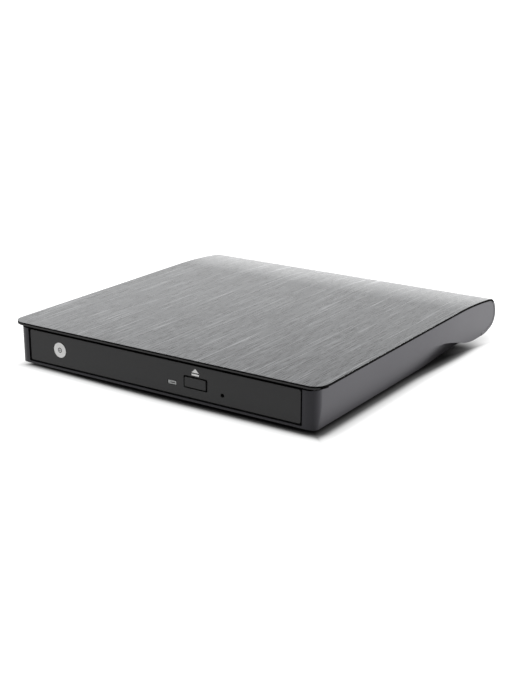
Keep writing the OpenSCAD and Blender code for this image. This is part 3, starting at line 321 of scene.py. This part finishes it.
M = {
    "cover": brushed_cover(),
    # Black with next to no reflection on the sheet's edges and underside: partly a black edge and partly
    # painted shade of the gap under it
    "cover_edge_shade": moulded("cover_edge_shade", (0.003, 0.003, 0.003), 0.8, Specular_IOR_Level=0.02),
    # Lighter copy of the cover's metal on its side bevels: painted highlight
    "cover_rim_highlight": metal("cover_rim_highlight", (0.3, 0.3, 0.305), 0.36, grain=(900, 40, 40)),
    # Lighter, more reflective copy of the black edge on the front lip's lower half: painted reflection of
    # the floor
    "cover_lip_reflection": moulded("cover_lip_reflection", (0.012, 0.012, 0.0125), 0.42, Specular_IOR_Level=0.3),
    "case": case_plastic(),
    "rubber": moulded("foot_rubber", (0.018, 0.018, 0.018), 0.75, grain_mm=0.3, bump_mm=0.02),
    "steel": metal("zinc_sheet", (0.52, 0.53, 0.54), 0.34),
    "screw": metal("plated_steel", (0.6, 0.6, 0.61), 0.28, grain=400),
    "board": board_green(),
    "chip": moulded("chip_black", (0.02, 0.02, 0.022), 0.5, grain_mm=0.15, bump_mm=0.004),
    "socket": metal("socket_shell", (0.62, 0.62, 0.63), 0.25),
    "dark": moulded("dark_plastic", (0.02, 0.02, 0.022), 0.42),
    "white": moulded("natural_plastic", (0.66, 0.65, 0.6), 0.45, Subsurface_Weight=0.05),
    "tray": moulded("tray_plastic", (0.022, 0.022, 0.024), 0.46, grain_mm=0.3, bump_mm=0.01),
    "bezel": moulded("bezel_plastic", (0.014, 0.014, 0.0145), 0.46, grain_mm=0.22, bump_mm=0.012, vary=0.3,
                     Specular_IOR_Level=0.3),
    "lens": moulded("light_guide", (0.42, 0.43, 0.43), 0.35, grain_mm=0.3, bump_mm=0.004, vary=0.2,
                    Transmission_Weight=0.25),
    "alloy": metal("die_cast", (0.4, 0.41, 0.43), 0.42, grain=260),
    "coil": moulded("coil_tape", (0.5, 0.2, 0.05), 0.4, grain_mm=0.5, bump_mm=0.01),
    "glass": moulded("objective_glass", (0.16, 0.22, 0.42), 0.06, grain_mm=1.0, bump_mm=0.0, vary=0.1,
                     Coat_Weight=0.6),
    "print": moulded("white_print", (0.85, 0.85, 0.84), 0.5, grain_mm=0.2, bump_mm=0.003, vary=0.03),
}
# The material of each slot of the record
SLOT_MATERIAL = {
    "cover": "cover", "case_plastic": "case", "rubber": "rubber", "steel": "steel",
    "screw_steel": "screw", "board": "board", "chip": "chip", "socket_shell": "socket",
    "dark_plastic": "dark", "white_plastic": "white", "tray_plastic": "tray",
    "bezel_plastic": "bezel", "lens_plastic": "lens", "alloy": "alloy", "coil": "coil", "glass": "glass",
}
for node_name, node_object in NODES.items():
    node_object.data.materials.clear()
    node_object.data.materials.append(M[SLOT_MATERIAL[NODE_SLOT[node_name]]])


# Mesh helpers
def new_object(name, verts, faces, mats):
    """Mesh object from points in millimetres, welded and with its normals outwards."""
    mesh = bpy.data.meshes.new(name)
    mesh.from_pydata([Vector(v) * MM for v in verts], [], faces)
    for mat in mats:
        mesh.materials.append(mat)
    obj = bpy.data.objects.new(name, mesh)
    bpy.context.scene.collection.objects.link(obj)
    return cleaned(obj)


def cleaned(obj):
    """Welds doubles, removes empty faces and turns normals outwards."""
    bm = bmesh.new()
    bm.from_mesh(obj.data)
    bmesh.ops.remove_doubles(bm, verts=bm.verts, dist=2e-6)
    bmesh.ops.dissolve_degenerate(bm, edges=bm.edges, dist=1e-6)
    bmesh.ops.recalc_face_normals(bm, faces=bm.faces)
    bm.to_mesh(obj.data)
    bm.free()
    return obj


def applied(obj):
    """Keeps the mesh that the modifiers make."""
    bpy.context.view_layer.update()
    depsgraph = bpy.context.evaluated_depsgraph_get()
    mesh = bpy.data.meshes.new_from_object(obj.evaluated_get(depsgraph))
    old = obj.data
    obj.modifiers.clear()
    obj.data = mesh
    bpy.data.meshes.remove(old)
    return obj


def cut(obj, *cutters):
    """Subtracts the cutters and removes them."""
    for cutter in cutters:
        mod = obj.modifiers.new("cut", "BOOLEAN")
        mod.operation = "DIFFERENCE"
        mod.solver = "EXACT"
        mod.object = cutter
    applied(obj)
    for cutter in cutters:
        bpy.data.objects.remove(cutter)
    return obj


def bevelled(obj, width_mm, segments=3, angle=40):
    """Rounds the edges that are sharper than an angle in degrees."""
    mod = obj.modifiers.new("bevel", "BEVEL")
    mod.width = width_mm * MM
    mod.segments = segments
    mod.limit_method = "ANGLE"
    mod.angle_limit = math.radians(angle)
    return applied(obj)


def smooth(obj, angle=32):
    """Smooth shading, apart from edges sharper than an angle in degrees."""
    mesh = obj.data
    mesh.polygons.foreach_set("use_smooth", [True] * len(mesh.polygons))
    mesh.set_sharp_from_angle(angle=math.radians(angle))
    mod = obj.modifiers.new("normals", "WEIGHTED_NORMAL")
    mod.keep_sharp = True
    return obj


def along(obj, node):
    """Rides on the node's body."""
    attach(obj, BODY_OF[node])


def stands_for(obj, node):
    """Rides on the node's body and hides the node."""
    along(obj, node)
    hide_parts(node)


def ring_faces(rings, n):
    """Faces between closed rings of n points."""
    return [(k * n + i, k * n + (i + 1) % n, (k + 1) * n + (i + 1) % n, (k + 1) * n + i)
            for k in range(rings - 1) for i in range(n)]


def end_faces(rings, n):
    """The two ends of a solid whose points come as closed rings."""
    count = rings * n
    return [tuple(range(n)), tuple(range(count - 1, count - n - 1, -1))]


def prism(name, outline, axis, low, high, mats=()):
    """Straight prism along y or z; the outline's points are in the two other axes."""
    if axis == "y":
        verts = [(x, y, z) for y in (low, high) for x, z in outline]
    else:
        verts = [(x, y, z) for z in (low, high) for x, y in outline]
    n = len(outline)
    return new_object(name, verts, end_faces(2, n) + ring_faces(2, n), mats)


def box_at(name, low, high, mats=()):
    """Box between two corners."""
    (x0, y0, z0), (x1, y1, z1) = low, high
    return prism(name, [(x0, y0), (x1, y0), (x1, y1), (x0, y1)], "z", z0, z1, mats)


def round_rect(cx, cy, w, h, r, steps=6):
    """Rectangle about a centre with rounded corners."""
    points = []
    for k, (sx, sy) in enumerate(((1, 1), (-1, 1), (-1, -1), (1, -1))):
        corner = (cx + sx * w / 2 - sx * r, cy + sy * h / 2 - sy * r)
        points += arc(corner, r, k * QUARTER, (k + 1) * QUARTER, steps)
    return points


def disc_outline(cx, cy, r, steps=48):
    """Circle about a centre."""
    return arc((cx, cy), r, 0, 4 * QUARTER, steps)[:-1]


def usb_cutter(margin):
    """Cutter for the opening of the USB socket, larger than the socket by a margin."""
    corner_r, inner_y, outer_y = 0.8, 65, 80
    outline = round_rect(0, Z_USB + USB_H / 2, USB_W + margin, USB_H + margin, corner_r)
    return prism("usb_cut", outline, "y", inner_y, outer_y)


# Top cover: one sheet from the front lip round the tail
def wrap_line(d):
    """Outer line of the sheet from the start of its fall round the tail, moved in by d."""
    return (arc((TAIL_Y, CASE_H - TAIL_R), TAIL_R - d, QUARTER, QUARTER - TAIL_A, 16)
            + arc(NOSE_C, NOSE_R - d, QUARTER - TAIL_A, 0, 28, 1)
            + arc(LOW_C, LOW_R - d, 0, -LOBE_A, 24, 1)
            + arc(LOBE_C, LOBE_R - d, -LOBE_A, -QUARTER, 10, 1))


def sheet_depth(y, z):
    """Depth of a point under the sheet's outer line."""
    def under(centre, r):
        return r - math.hypot(y - centre[0], z - centre[1])

    if y < TAIL_Y:
        return CASE_H - z
    if z > NOSE_Z:
        fall = under((TAIL_Y, CASE_H - TAIL_R), TAIL_R)
        return min(fall, under(NOSE_C, NOSE_R)) if y > NOSE_C[0] else fall
    lobe = under(LOBE_C, LOBE_R)
    return min(under(LOW_C, LOW_R), lobe) if y > LOW_C[0] else lobe


def cover_line(d):
    """Edge of the sheet at depth d: along the left side, round the front and along the right side."""
    x, y = CASE_HW - COVER_R, Y_FRONT + COVER_R
    front = (arc((-x, y), COVER_R, 2 * QUARTER, 3 * QUARTER, 14)
             + arc((x, y), COVER_R, 3 * QUARTER, 4 * QUARTER, 14))
    tail = wrap_line(d)
    return ([(-CASE_HW, *p) for p in reversed(tail)]
            + [(*p, CASE_H - d) for p in front]
            + [(CASE_HW, *p) for p in tail])


def skin_faces(start, n, m):
    """Skin across an edge line of n points whose first and last m lie over the tail."""
    flat = tuple(start + i for i in range(m - 1, n - m + 1))
    return [flat] + [(start + i, start + i + 1, start + n - 2 - i, start + n - 1 - i) for i in range(m - 1)]


def cover_finish(centre, normal):
    """Finish of one face of the sheet, by its place and the way it looks; the edges carry painted shade, a
    painted reflection and a painted highlight.
    """
    depth = sheet_depth(centre.y, centre.z)
    flat, high = centre.y < TAIL_Y, centre.z > NOSE_Z + 5
    front_edge = centre.y < Y_FRONT + COVER_R and normal.y < -0.02 and abs(normal.z) < 0.97
    side_edge, side_bevel = abs(normal.x) > 0.9, abs(normal.x) > 0.2 and normal.z > 0.2
    straight_ahead, straight_down = normal.y < -0.6, normal.z < -0.95
    # The front edge's forward-facing lower half is a painted reflection of the floor; the rest of it is
    # painted shade
    if front_edge:
        return "cover_lip_reflection" if depth > LIP_DEPTH and straight_ahead else "cover_edge_shade"
    # The upper part of the side edges and of the tail's edge is painted shade; the lower part is the case's
    # plastic
    if side_edge:
        return "cover_edge_shade" if depth < EDGE_DEPTH and high else "case"
    # The side bevels of the flat sheet get a painted highlight
    if flat and side_bevel:
        return "cover_rim_highlight"
    if flat and normal.z < -0.1:
        return "cover_edge_shade" if straight_down else "case"
    return "cover"


def make_cover():
    """The sheet, with rows of faces round its edge that differ in finish: painted shade, a painted
    reflection and a painted highlight.
    """
    finishes = ["cover", "cover_edge_shade", "cover_lip_reflection", "case", "cover_rim_highlight"]
    lines = [cover_line(d) for d in (0, LIP_DEPTH, EDGE_DEPTH, COVER_T)]
    n, m = len(lines[0]), len(wrap_line(0))
    faces = ring_faces(len(lines), n)
    for start in (0, (len(lines) - 1) * n):
        faces += skin_faces(start, n, m)
    verts = [v for line in lines for v in line]
    obj = new_object("cover_sheet", verts, faces, [M[finish] for finish in finishes])
    cut(obj, usb_cutter(USB_COVER_MARGIN))
    bevelled(obj, COVER_BEVEL, angle=50)
    for face in obj.data.polygons:
        face.material_index = finishes.index(cover_finish(face.center / MM, face.normal))
    smooth(obj, 20)
    stands_for(obj, "top_cover")


make_cover()


# Base case: lofted sides under the wings
def side_hw(y):
    """Half width of the sides."""
    return CASE_HW - mix(SIDE_OVER, TAIL_OVER, ease((y - FLARE_Y) / (FULL_Y - FLARE_Y)))


def tucked(y):
    """Share of the lower edge's tuck that is reached."""
    return ease((y - TUCK_Y) / (FULL_Y - TUCK_Y))


def low_hw(y):
    """Half width of the sides' lower edge."""
    return CASE_HW - SIDE_OVER - mix(TUCK_FRONT, TUCK_TAIL, tucked(y))


def wing_z(y):
    """Height of the wing's lower edge."""
    if y > WING_Y:
        return TAIL_CLEAR
    if y > TURN_Y:
        return TAIL_CLEAR + WING_LOBE_R - math.sqrt(WING_LOBE_R ** 2 - (y - WING_Y) ** 2)
    if y > FADE_Y:
        return FADE_Z + math.sqrt(WING_FADE_R ** 2 - (y - FADE_Y) ** 2)
    return FADE_Z + WING_FADE_R


def base_top(y):
    """Height of the base's upper line, just inside the sheet."""
    if y < TAIL_Y:
        return CASE_H - SHEET_IN
    y_nose = NOSE_C[0] + (NOSE_R - SHEET_IN) * math.sin(TAIL_A)
    if y < y_nose:
        return CASE_H - TAIL_R + math.sqrt((TAIL_R - SHEET_IN) ** 2 - (y - TAIL_Y) ** 2)
    return NOSE_Z + math.sqrt(max(0, (NOSE_R - SHEET_IN) ** 2 - (y - NOSE_C[0]) ** 2))


def base_bottom(y):
    """Height of the underside, from the turned front edge to the inside of the sheet's roll."""
    if y < Y_BASE + FRONT_TUCK:
        return BASE_LIFT + FRONT_RISE * (1 - (y - Y_BASE) / FRONT_TUCK)
    if y < Y_REAR:
        return BASE_LIFT
    if y < Y_REAR + RAMP_LEN:
        return mix(BASE_LIFT, TAIL_CLEAR, (y - Y_REAR) / RAMP_LEN)
    if y <= WRAP_END - HOOK_GAP:
        return TAIL_CLEAR
    y_low = LOBE_C[0] + (LOBE_R - SHEET_IN) * math.cos(LOBE_A)
    if y < y_low:
        return LOBE_C[1] - math.sqrt((LOBE_R - SHEET_IN) ** 2 - max(0, y - LOBE_C[0]) ** 2)
    return NOSE_Z - math.sqrt(max(0, (LOW_R - SHEET_IN) ** 2 - (y - LOW_C[0]) ** 2))


def base_line(y):
    """Right half of the outer section, from the top down to the underside."""
    straight, curve, turn = 4, 10, 3
    front_power, tail_power, wing_room = 1.4, 0.45, 0.3
    top, low = base_top(y), base_bottom(y)
    upper, lower, wing = side_hw(y), low_hw(y), wing_z(y)
    edge = min(BASE_LIFT + SIDE_RISE, wing - wing_room)
    power = mix(front_power, tail_power, tucked(y))
    points = [(upper, mix(top, wing, i / straight)) for i in range(straight)]
    points += [(upper - (upper - lower) * (i / curve) ** power, mix(wing, edge, i / curve))
               for i in range(curve + 1)]
    points += [(lower - FRONT_TUCK * i / turn, mix(edge, edge - SIDE_RISE, i / turn))
               for i in range(1, turn + 1)]
    if y < Y_BASE + BASE_R:
        inset = Y_BASE + BASE_R - y
        limit = side_hw(Y_BASE) - BASE_R + math.sqrt(max(0, BASE_R ** 2 - inset ** 2))
        points = [(min(x, limit), z) for x, z in points]
    return [(x, max(low, min(top, z))) for x, z in points]


def base_places():
    """Places along the depth where a section is taken, close together where the form turns fast."""
    corner, side, wrap, nose, nose_len, step = 16, 60, 8, 14, 3, 0.01
    hook, end = WRAP_END - HOOK_GAP, Y_BACK - SHEET_IN
    places = [Y_BASE + BASE_R * (1 - math.cos(QUARTER * i / corner)) for i in range(corner + 1)]
    places += [mix(Y_BASE + BASE_R, WING_Y, i / side) for i in range(1, side + 1)]
    places += [Y_BASE + FRONT_TUCK, Y_REAR, Y_REAR + RAMP_LEN, hook, hook + step]
    places += [mix(WRAP_END, end - nose_len, i / wrap) for i in range(wrap + 1)]
    places += [end - nose_len * math.cos(QUARTER * i / nose) for i in range(nose + 1)]
    return sorted(set(round(y, 4) for y in places))


def base_skin():
    """Closed outer form of the base before anything is cut out of it."""
    rows = []
    for y in base_places():
        half = base_line(y)
        rows.append([(x, y, z) for x, z in half] + [(-x, y, z) for x, z in reversed(half)])
    n, faces = len(rows[0]), []
    for k in range(len(rows) - 1):
        for i in range(n):
            a, b = k * n + i, k * n + (i + 1) % n
            faces.append((a, a + n, b + n, b))
    verts = [v for row in rows for v in row]
    return new_object("base_shell", verts, faces + end_faces(len(rows), n), [M["case"]])


def bay_cutters():
    """The drive's bay, the room in the tail, the mouth and the USB opening."""
    bay_hw, bay_end = 66.8, Y_REAR + 0.6
    tail_hw, tail_start, tail_end, tail_floor = 66.0, Y_REAR + 0.5, Y_BACK - 5, 5.6
    mouth_room, mouth_r = 0.2, 0.5
    y_in, mouth_w = Y_BASE + FRAME_T, 2 * (BEZEL_HW + BEZEL_GAP + mouth_room)
    mouth = round_rect(0, (Z_SILL + ABOVE) / 2, mouth_w, ABOVE - Z_SILL, mouth_r, 4)
    return [box_at("hollow", (-bay_hw, y_in, Z_FLOOR), (bay_hw, bay_end, ABOVE)),
            box_at("tail_hollow", (-tail_hw, tail_start, tail_floor), (tail_hw, tail_end, ABOVE)),
            prism("mouth", mouth, "y", Y_BASE - 1, y_in + 1),
            usb_cutter(USB_BASE_MARGIN)]


def reveal_cutters():
    """The shadow gap under the cover's front, with rounded ends in the corners."""
    end_x, end_y, end_w, end_d, end_r, end_top = 75.2, -71.0, 12, 8, 2.2, 17.7
    low, wide = CASE_H - SHEET_IN - REVEAL_H, 80
    cutters = [box_at("reveal", (-wide, Y_BASE - 1, low), (wide, Y_BASE + REVEAL_D, ABOVE))]
    for x in (-end_x, end_x):
        cutters.append(prism("reveal_end", round_rect(x, end_y, end_w, end_d, end_r), "z", low, end_top))
    return cutters


def underside_cutters():
    """Round seats for the feet and the screws."""
    below, foot_r, foot_depth, screw_r, screw_top = 0.6, 5.1, 0.4, 2.1, 2.2
    cutters = [prism("foot_cut", disc_outline(x, y, foot_r), "z", below, BASE_LIFT + foot_depth)
               for x, y in FOOT_AT]
    cutters += [prism("screw_cut", disc_outline(x, y, screw_r, 32), "z", below, screw_top)
                for x, y in SCREW_AT]
    return cutters


def make_base():
    """The base: its outer form with the openings cut out."""
    obj = cut(base_skin(), *bay_cutters(), *reveal_cutters(), *underside_cutters())
    smooth(cleaned(obj), 28)
    stands_for(obj, "base_case")


make_base()


# Bezel, button and light window
def make_bezel():
    """Front plate of the tray with openings for the button, the window and the pinhole."""
    hole_w, hole_h, hole_r = BUTTON_W + 2 * BUTTON_GAP, BUTTON_H + 2 * BUTTON_GAP, 0.5
    bevel = 0.18
    plate = round_rect(0, Z_BEZEL + BEZEL_H / 2, 2 * BEZEL_HW, BEZEL_H, BEZEL_R)
    obj = prism("bezel_plate", plate, "y", Y_BEZEL, Y_TRAY, [M["bezel"]])
    holes = (round_rect(BUTTON_X, Z_BUTTON, hole_w, hole_h, hole_r),
             round_rect(LED_X, Z_LED, LED_W, LED_H, LED_R),
             disc_outline(PIN_X, Z_PIN, PIN_R, 32))
    cut(obj, *[prism("bezel_hole", hole, "y", Y_BEZEL - 1, Y_TRAY + 1) for hole in holes])
    stands_for(smooth(bevelled(obj, bevel)), "front_bezel")


def make_button():
    """Cap that stands proud of the bezel, with a flange and a stem behind it."""
    cap_r, cap_end, bevel = 0.45, Y_TRAY + 0.15, 0.25
    flange_more, flange_r, flange_start, flange_end = 1.4, 0.4, Y_TRAY + 0.1, Y_TRAY + 0.6
    stem_low = (BUTTON_X - 1.6, Y_TRAY + 0.3, 7.5)
    stem_high = (BUTTON_X + 1.6, Y_TRAY + 2.3, 8.6)
    finish = [M["bezel"]]
    outline = round_rect(BUTTON_X, Z_BUTTON, BUTTON_W, BUTTON_H, cap_r)
    cap = bevelled(prism("button_cap", outline, "y", Y_BEZEL - PROUD, cap_end, finish), bevel)
    outline = round_rect(BUTTON_X, Z_BUTTON, BUTTON_W + flange_more, BUTTON_H + flange_more, flange_r)
    flange = prism("button_flange", outline, "y", flange_start, flange_end, finish)
    stem = box_at("button_stem", stem_low, stem_high, finish)
    along(flange, "eject_button")
    along(stem, "eject_button")
    stands_for(smooth(cap), "eject_button")


def make_window():
    """Light window with a dark slot in its face, a dark rim and a foot behind the bezel."""
    y0, y1, bevel = Y_BEZEL + 0.08, Y_TRAY + 0.1, 0.08
    face_w, face_h, face_r = LED_W - 0.4, LED_H - 0.36, 0.2
    slot_x, slot_z, slot_w, slot_h, slot_r = LED_X + 0.35, Z_LED - 0.03, 2.3, 0.42, 0.15
    slot_depth, rim_start = 0.25, y0 + 0.5
    foot_low = (LED_X - LED_W / 2 - 0.5, Y_TRAY, Z_LED - LED_H / 2 - 0.4)
    foot_high = (LED_X + LED_W / 2 + 0.5, Y_TRAY + 1.2, 8.9)
    outline = round_rect(LED_X, Z_LED, face_w, face_h, face_r, 4)
    face = prism("light_window", outline, "y", y0, y1, [M["lens"], M["dark"]])
    outline = round_rect(slot_x, slot_z, slot_w, slot_h, slot_r, 4)
    cut(face, prism("slot", outline, "y", y0 - 1, y0 + slot_depth))
    for polygon in face.data.polygons:
        if abs(polygon.normal.y) > 0.9 and abs(polygon.center.y / MM - y0 - slot_depth) < 0.01:
            polygon.material_index = 1
    bevelled(face, bevel, 2)
    outline = round_rect(LED_X, Z_LED, LED_W, LED_H, LED_R, 4)
    rim = prism("window_rim", outline, "y", rim_start, Y_TRAY, [M["dark"]])
    foot = box_at("window_foot", foot_low, foot_high, [M["lens"]])
    along(rim, "led_lens")
    along(foot, "led_lens")
    stands_for(smooth(face), "led_lens")


make_bezel()
make_button()
make_window()


# Prints on the bezel: a plain disc sign and a plain eject sign
PRINT_Y = (Y_BEZEL - 0.025, Y_BEZEL + 0.01)


def ring(name, cx, cz, outer_r, inner_r, n=48):
    """Printed ring; its points come as outer and inner circle, in front and then behind."""
    circles = [disc_outline(cx, cz, r, n) for r in (outer_r, inner_r)]
    verts = [(x, y, z) for y in PRINT_Y for circle in circles for x, z in circle]
    faces = []
    for i in range(n):
        j = (i + 1) % n
        faces += [(i, j, n + j, n + i), (2 * n + i, 3 * n + i, 3 * n + j, 2 * n + j),
                  (i, 2 * n + i, 2 * n + j, j), (n + i, n + j, 3 * n + j, 3 * n + i)]
    return new_object(name, verts, faces, [M["print"]])


def make_prints():
    """The two signs in white, which move with the tray."""
    disc_x, disc_z, disc_r, hole_r, hub_r, bore_r = -48.6, 10.25, 3.1, 1.05, 0.68, 0.34
    sign_top, arrow_hw, arrow_h, bar_drop, bar_h, bar_r = 15.3, 1.7, 1.6, 2.4, 0.7, 0.1
    arrow = [(BUTTON_X - arrow_hw, sign_top - arrow_h), (BUTTON_X + arrow_hw, sign_top - arrow_h),
             (BUTTON_X, sign_top)]
    bar = round_rect(BUTTON_X, sign_top - bar_drop, 2 * arrow_hw, bar_h, bar_r, 3)
    prints = [ring("disc_mark", disc_x, disc_z, disc_r, hole_r),
              ring("disc_hole", disc_x, disc_z, hub_r, bore_r, 32),
              prism("eject_arrow", arrow, "y", *PRINT_Y, [M["print"]]),
              prism("eject_bar", bar, "y", *PRINT_Y, [M["print"]])]
    for piece in prints:
        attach(piece, "tray")


make_prints()


# Screws under the base and the lead screw's thread
def turned(name, profile, at, n, mats):
    """Solid of revolution about an upright axis; the profile holds radius and height."""
    circle = [(math.cos(2 * math.pi * i / n), math.sin(2 * math.pi * i / n)) for i in range(n)]
    verts = [(at[0] + r * u, at[1] + r * v, z) for r, z in profile for u, v in circle]
    return new_object(name, verts, ring_faces(len(profile), n) + end_faces(len(profile), n), mats)


def make_screws():
    """Four heads, each with a cross recess."""
    low, top = BASE_LIFT + 0.1, 3.4
    head_r, edge_r, shank_r, edge_h, head_h, recess = 1.9, 1.6, 0.95, 0.15, 0.5, 0.35
    profile = [(edge_r, low), (head_r, low + edge_h), (head_r, low + head_h),
               (shank_r, low + head_h), (shank_r, top)]
    arm, hw = 1.15, 0.28
    cross = [(hw, -arm), (hw, -hw), (arm, -hw), (arm, hw), (hw, hw), (hw, arm),
             (-hw, arm), (-hw, hw), (-arm, hw), (-arm, -hw), (-hw, -hw), (-hw, -arm)]
    for i, (x, y) in enumerate(SCREW_AT):
        obj = turned("base_screw_%d" % i, profile, (x, y), 40, [M["screw"]])
        cut(obj, prism("cross", [(x + u, y + v) for u, v in cross], "z", low - 0.5, low + recess))
        smooth(obj, 40)
        if i == 0:
            stands_for(obj, "drive_screws")
        else:
            along(obj, "drive_screws")


def make_lead_screw():
    """Rod with journals and a thread of two starts, 3 mm of travel a turn."""
    start, length, lead, starts = Vector((3.46, -29.07, 6.6)), 42.3, 3.0, 2
    journal, thread, thread_end, steps, n = 1.7, 39.1, 40.8, 195, 28
    journal_r, core_r, ridge, flank, root = 0.7, 1.02, 0.28, 1.8, 0.4
    axis, up = Vector((-1, -1, 0)).normalized(), Vector((0, 0, 1))
    across = Vector((axis.y, -axis.x, 0))
    places = [0, journal] + [journal + thread * i / steps for i in range(steps + 1)] + [thread_end, length]
    verts = []
    for k, s in enumerate(places):
        plain = k < 2 or k > len(places) - 3
        for i in range(n):
            wave = abs((starts * s / lead - i / n * starts) % 1 - 0.5) * 2
            r = journal_r if plain else core_r + ridge * min(1, max(0, flank * wave - root))
            a = 2 * math.pi * i / n
            verts.append(start + axis * s + across * (r * math.cos(a)) + up * (r * math.sin(a)))
    faces = ring_faces(len(places), n) + end_faces(len(places), n)
    obj = new_object("lead_screw_thread", verts, faces, [M["screw"]])
    stands_for(smooth(obj, 35), "lead_screw")


make_screws()
make_lead_screw()


# Stage, light and camera; lengths here are in metres
# Fades over the floor, which paint a shadow round the drive and light towards the back: a value's low and
# high place, and what the fade gives there
FLOOR_PAINTED_SHADOW_TONE = (-0.006, 0.0005, 0.02, 0.26)
SHADOW_EDGE_GLOW = (-0.0022, 0.0015, 0.0, 0.5)
SHADOW_FADE_GLOW = (0.0, 0.007, 0.0, 0.36)
PAINTED_BACK_LIGHT = (-0.02, 0.06, 1.0, 1.16)
SHADOW_FLARE = (-0.005, 0.04, 0.0, 0.0026)
SHADOW_TAPER = (-0.075, 0.01, 0.003, 0.0)
# Fades over the directions of the surround
SKY_HEIGHT = (0.04, 0.42, 2.3, 0.4)
SKY_DEPTH = (-0.3, 0.6, 0.0, 1.0)
SKY_RIGHT = (-0.1, 0.45, 1.0, 0.5)
SKY_LEFT = (-1.0, -0.4, 0.85, 0.35)
# Lamps: name, place, target, size and power in watts
LAMPS = (
    ("key", (-0.08, -0.12, 1.2), (0, 0, 0), (0.4, 0.4), 13),
    ("fill", (0.5, 0.9, 0.5), (0, 0.05, 0), (1.2, 0.8), 6),
    ("tail", (0.28, 0.56, 0.12), (0.07, 0.06, 0.01), (0.6, 0.2), 2.4),
    ("side", (-0.6, -0.6, 0.7), (0, 0, 0), (0.5, 0.4), 4),
)
# Camera, fitted to the photo's edges; the lens and the sensor are in millimetres
CAMERA_AT = (0.2760, -0.4167, 0.16375)
CAMERA_YAW, CAMERA_PITCH = math.radians(33.802), math.radians(17.955)
LENS, SENSOR_W, CLIP = 64.38, 36, (0.02, 150)
FLOOR_SIZE = 200


def outline_gap(g, axes):
    """How far a point of the floor lies outside the drive's painted shadow; below zero inside it."""
    def beyond(axis, slope, offset_mm):
        return g.math("MULTIPLY_ADD", axes[axis], slope, offset_mm * MM)

    front_room, tail_slope, tail_room, left_room = 0.4, 0.25, 13.8, 69.0
    right, front = beyond("X", 1, -CASE_HW), beyond("Y", -1, Y_FRONT - front_room)
    tail, left = beyond("Y", tail_slope, -tail_room), beyond("X", -1, -left_room)
    right = g.math("SUBTRACT", right, g.fade(axes["Y"], *SHADOW_FLARE))
    front = g.math("ADD", front, g.fade(axes["X"], *SHADOW_TAPER))
    return g.fold("MAXIMUM", [right, front, tail, left])


def floor_material():
    """Pale floor that shines white away from the drive, with a painted shadow close to it and painted light
    towards the back.
    """
    mat = bpy.data.materials.new("floor_white")
    mat.use_nodes = True
    g = Graph(mat.node_tree)
    g.nodes.remove(g.nodes["Principled BSDF"])
    axes = g.axes("Object")
    gap = outline_gap(g, axes)
    diffuse = g.nodes.new("ShaderNodeBsdfDiffuse")
    # The floor's colour darkens near and under the drive: painted shadow
    g.links.new(g.fade(gap, *FLOOR_PAINTED_SHADOW_TONE), diffuse.inputs["Color"])
    # The glow fades out towards the drive: painted shadow
    level = g.math("ADD", g.fade(gap, *SHADOW_EDGE_GLOW), g.fade(gap, *SHADOW_FADE_GLOW))
    # The glow grows towards the back: painted light
    level = g.math("MULTIPLY", level, g.fade(axes["Y"], *PAINTED_BACK_LIGHT))
    path = g.nodes.new("ShaderNodeLightPath").outputs
    seen = g.fold("ADD", [path[ray] for ray in ("Is Camera Ray", "Is Glossy Ray", "Is Transmission Ray")])
    glow = g.nodes.new("ShaderNodeEmission")
    glow.inputs["Color"].default_value = (1, 1, 1, 1)
    g.links.new(g.math("MULTIPLY", seen, level), glow.inputs["Strength"])
    both = g.nodes.new("ShaderNodeAddShader")
    g.links.new(diffuse.outputs[0], both.inputs[0])
    g.links.new(glow.outputs[0], both.inputs[1])
    g.links.new(both.outputs[0], g.nodes["Material Output"].inputs["Surface"])
    return mat


def make_stage():
    """The floor, which is no part of the drive."""
    bpy.ops.mesh.primitive_plane_add(size=FLOOR_SIZE, location=(0, 0, 0))
    floor = bpy.context.object
    floor.name = "floor"
    floor.data.materials.append(floor_material())


def make_world():
    """Surround that is bright low down at the back, weaker on the right, with a glow on the left."""
    world = bpy.data.worlds.new("studio")
    bpy.context.scene.world = world
    world.use_nodes = True
    g = Graph(world.node_tree)
    background = g.nodes["Background"]
    background.inputs["Color"].default_value = (1, 1, 1, 1)
    axes = g.axes("Generated")
    spread = g.math("MULTIPLY", g.fade(axes["Y"], *SKY_DEPTH), g.fade(axes["X"], *SKY_RIGHT))
    back = g.math("MULTIPLY", g.fade(axes["Z"], *SKY_HEIGHT), spread)
    total = g.math("ADD", back, g.fade(axes["X"], *SKY_LEFT))
    g.links.new(total, background.inputs["Strength"])


def aimed(name, data, place, direction):
    """Light or camera at a place, looking in a direction."""
    obj = bpy.data.objects.new(name, data)
    bpy.context.scene.collection.objects.link(obj)
    obj.location = place
    obj.rotation_mode = "QUATERNION"
    obj.rotation_quaternion = direction.to_track_quat("-Z", "Y")
    return obj


def area_light(name, place, target, size, power):
    """Rectangular lamp that looks at a target."""
    data = bpy.data.lights.new(name, "AREA")
    data.shape = "RECTANGLE"
    data.size, data.size_y = size
    data.energy = power
    aimed(name, data, place, Vector(target) - Vector(place))


def make_camera():
    """Camera at the photo's angle."""
    level = math.cos(CAMERA_PITCH)
    forward = Vector((-math.sin(CAMERA_YAW) * level, math.cos(CAMERA_YAW) * level, -math.sin(CAMERA_PITCH)))
    data = bpy.data.cameras.new("camera")
    data.lens = LENS
    data.sensor_width = SENSOR_W
    data.clip_start, data.clip_end = CLIP
    bpy.context.scene.camera = aimed("camera", data, CAMERA_AT, forward)


make_stage()
make_world()
for lamp in LAMPS:
    area_light(*lamp)
make_camera()
bpy.context.scene.view_settings.view_transform = "Standard"
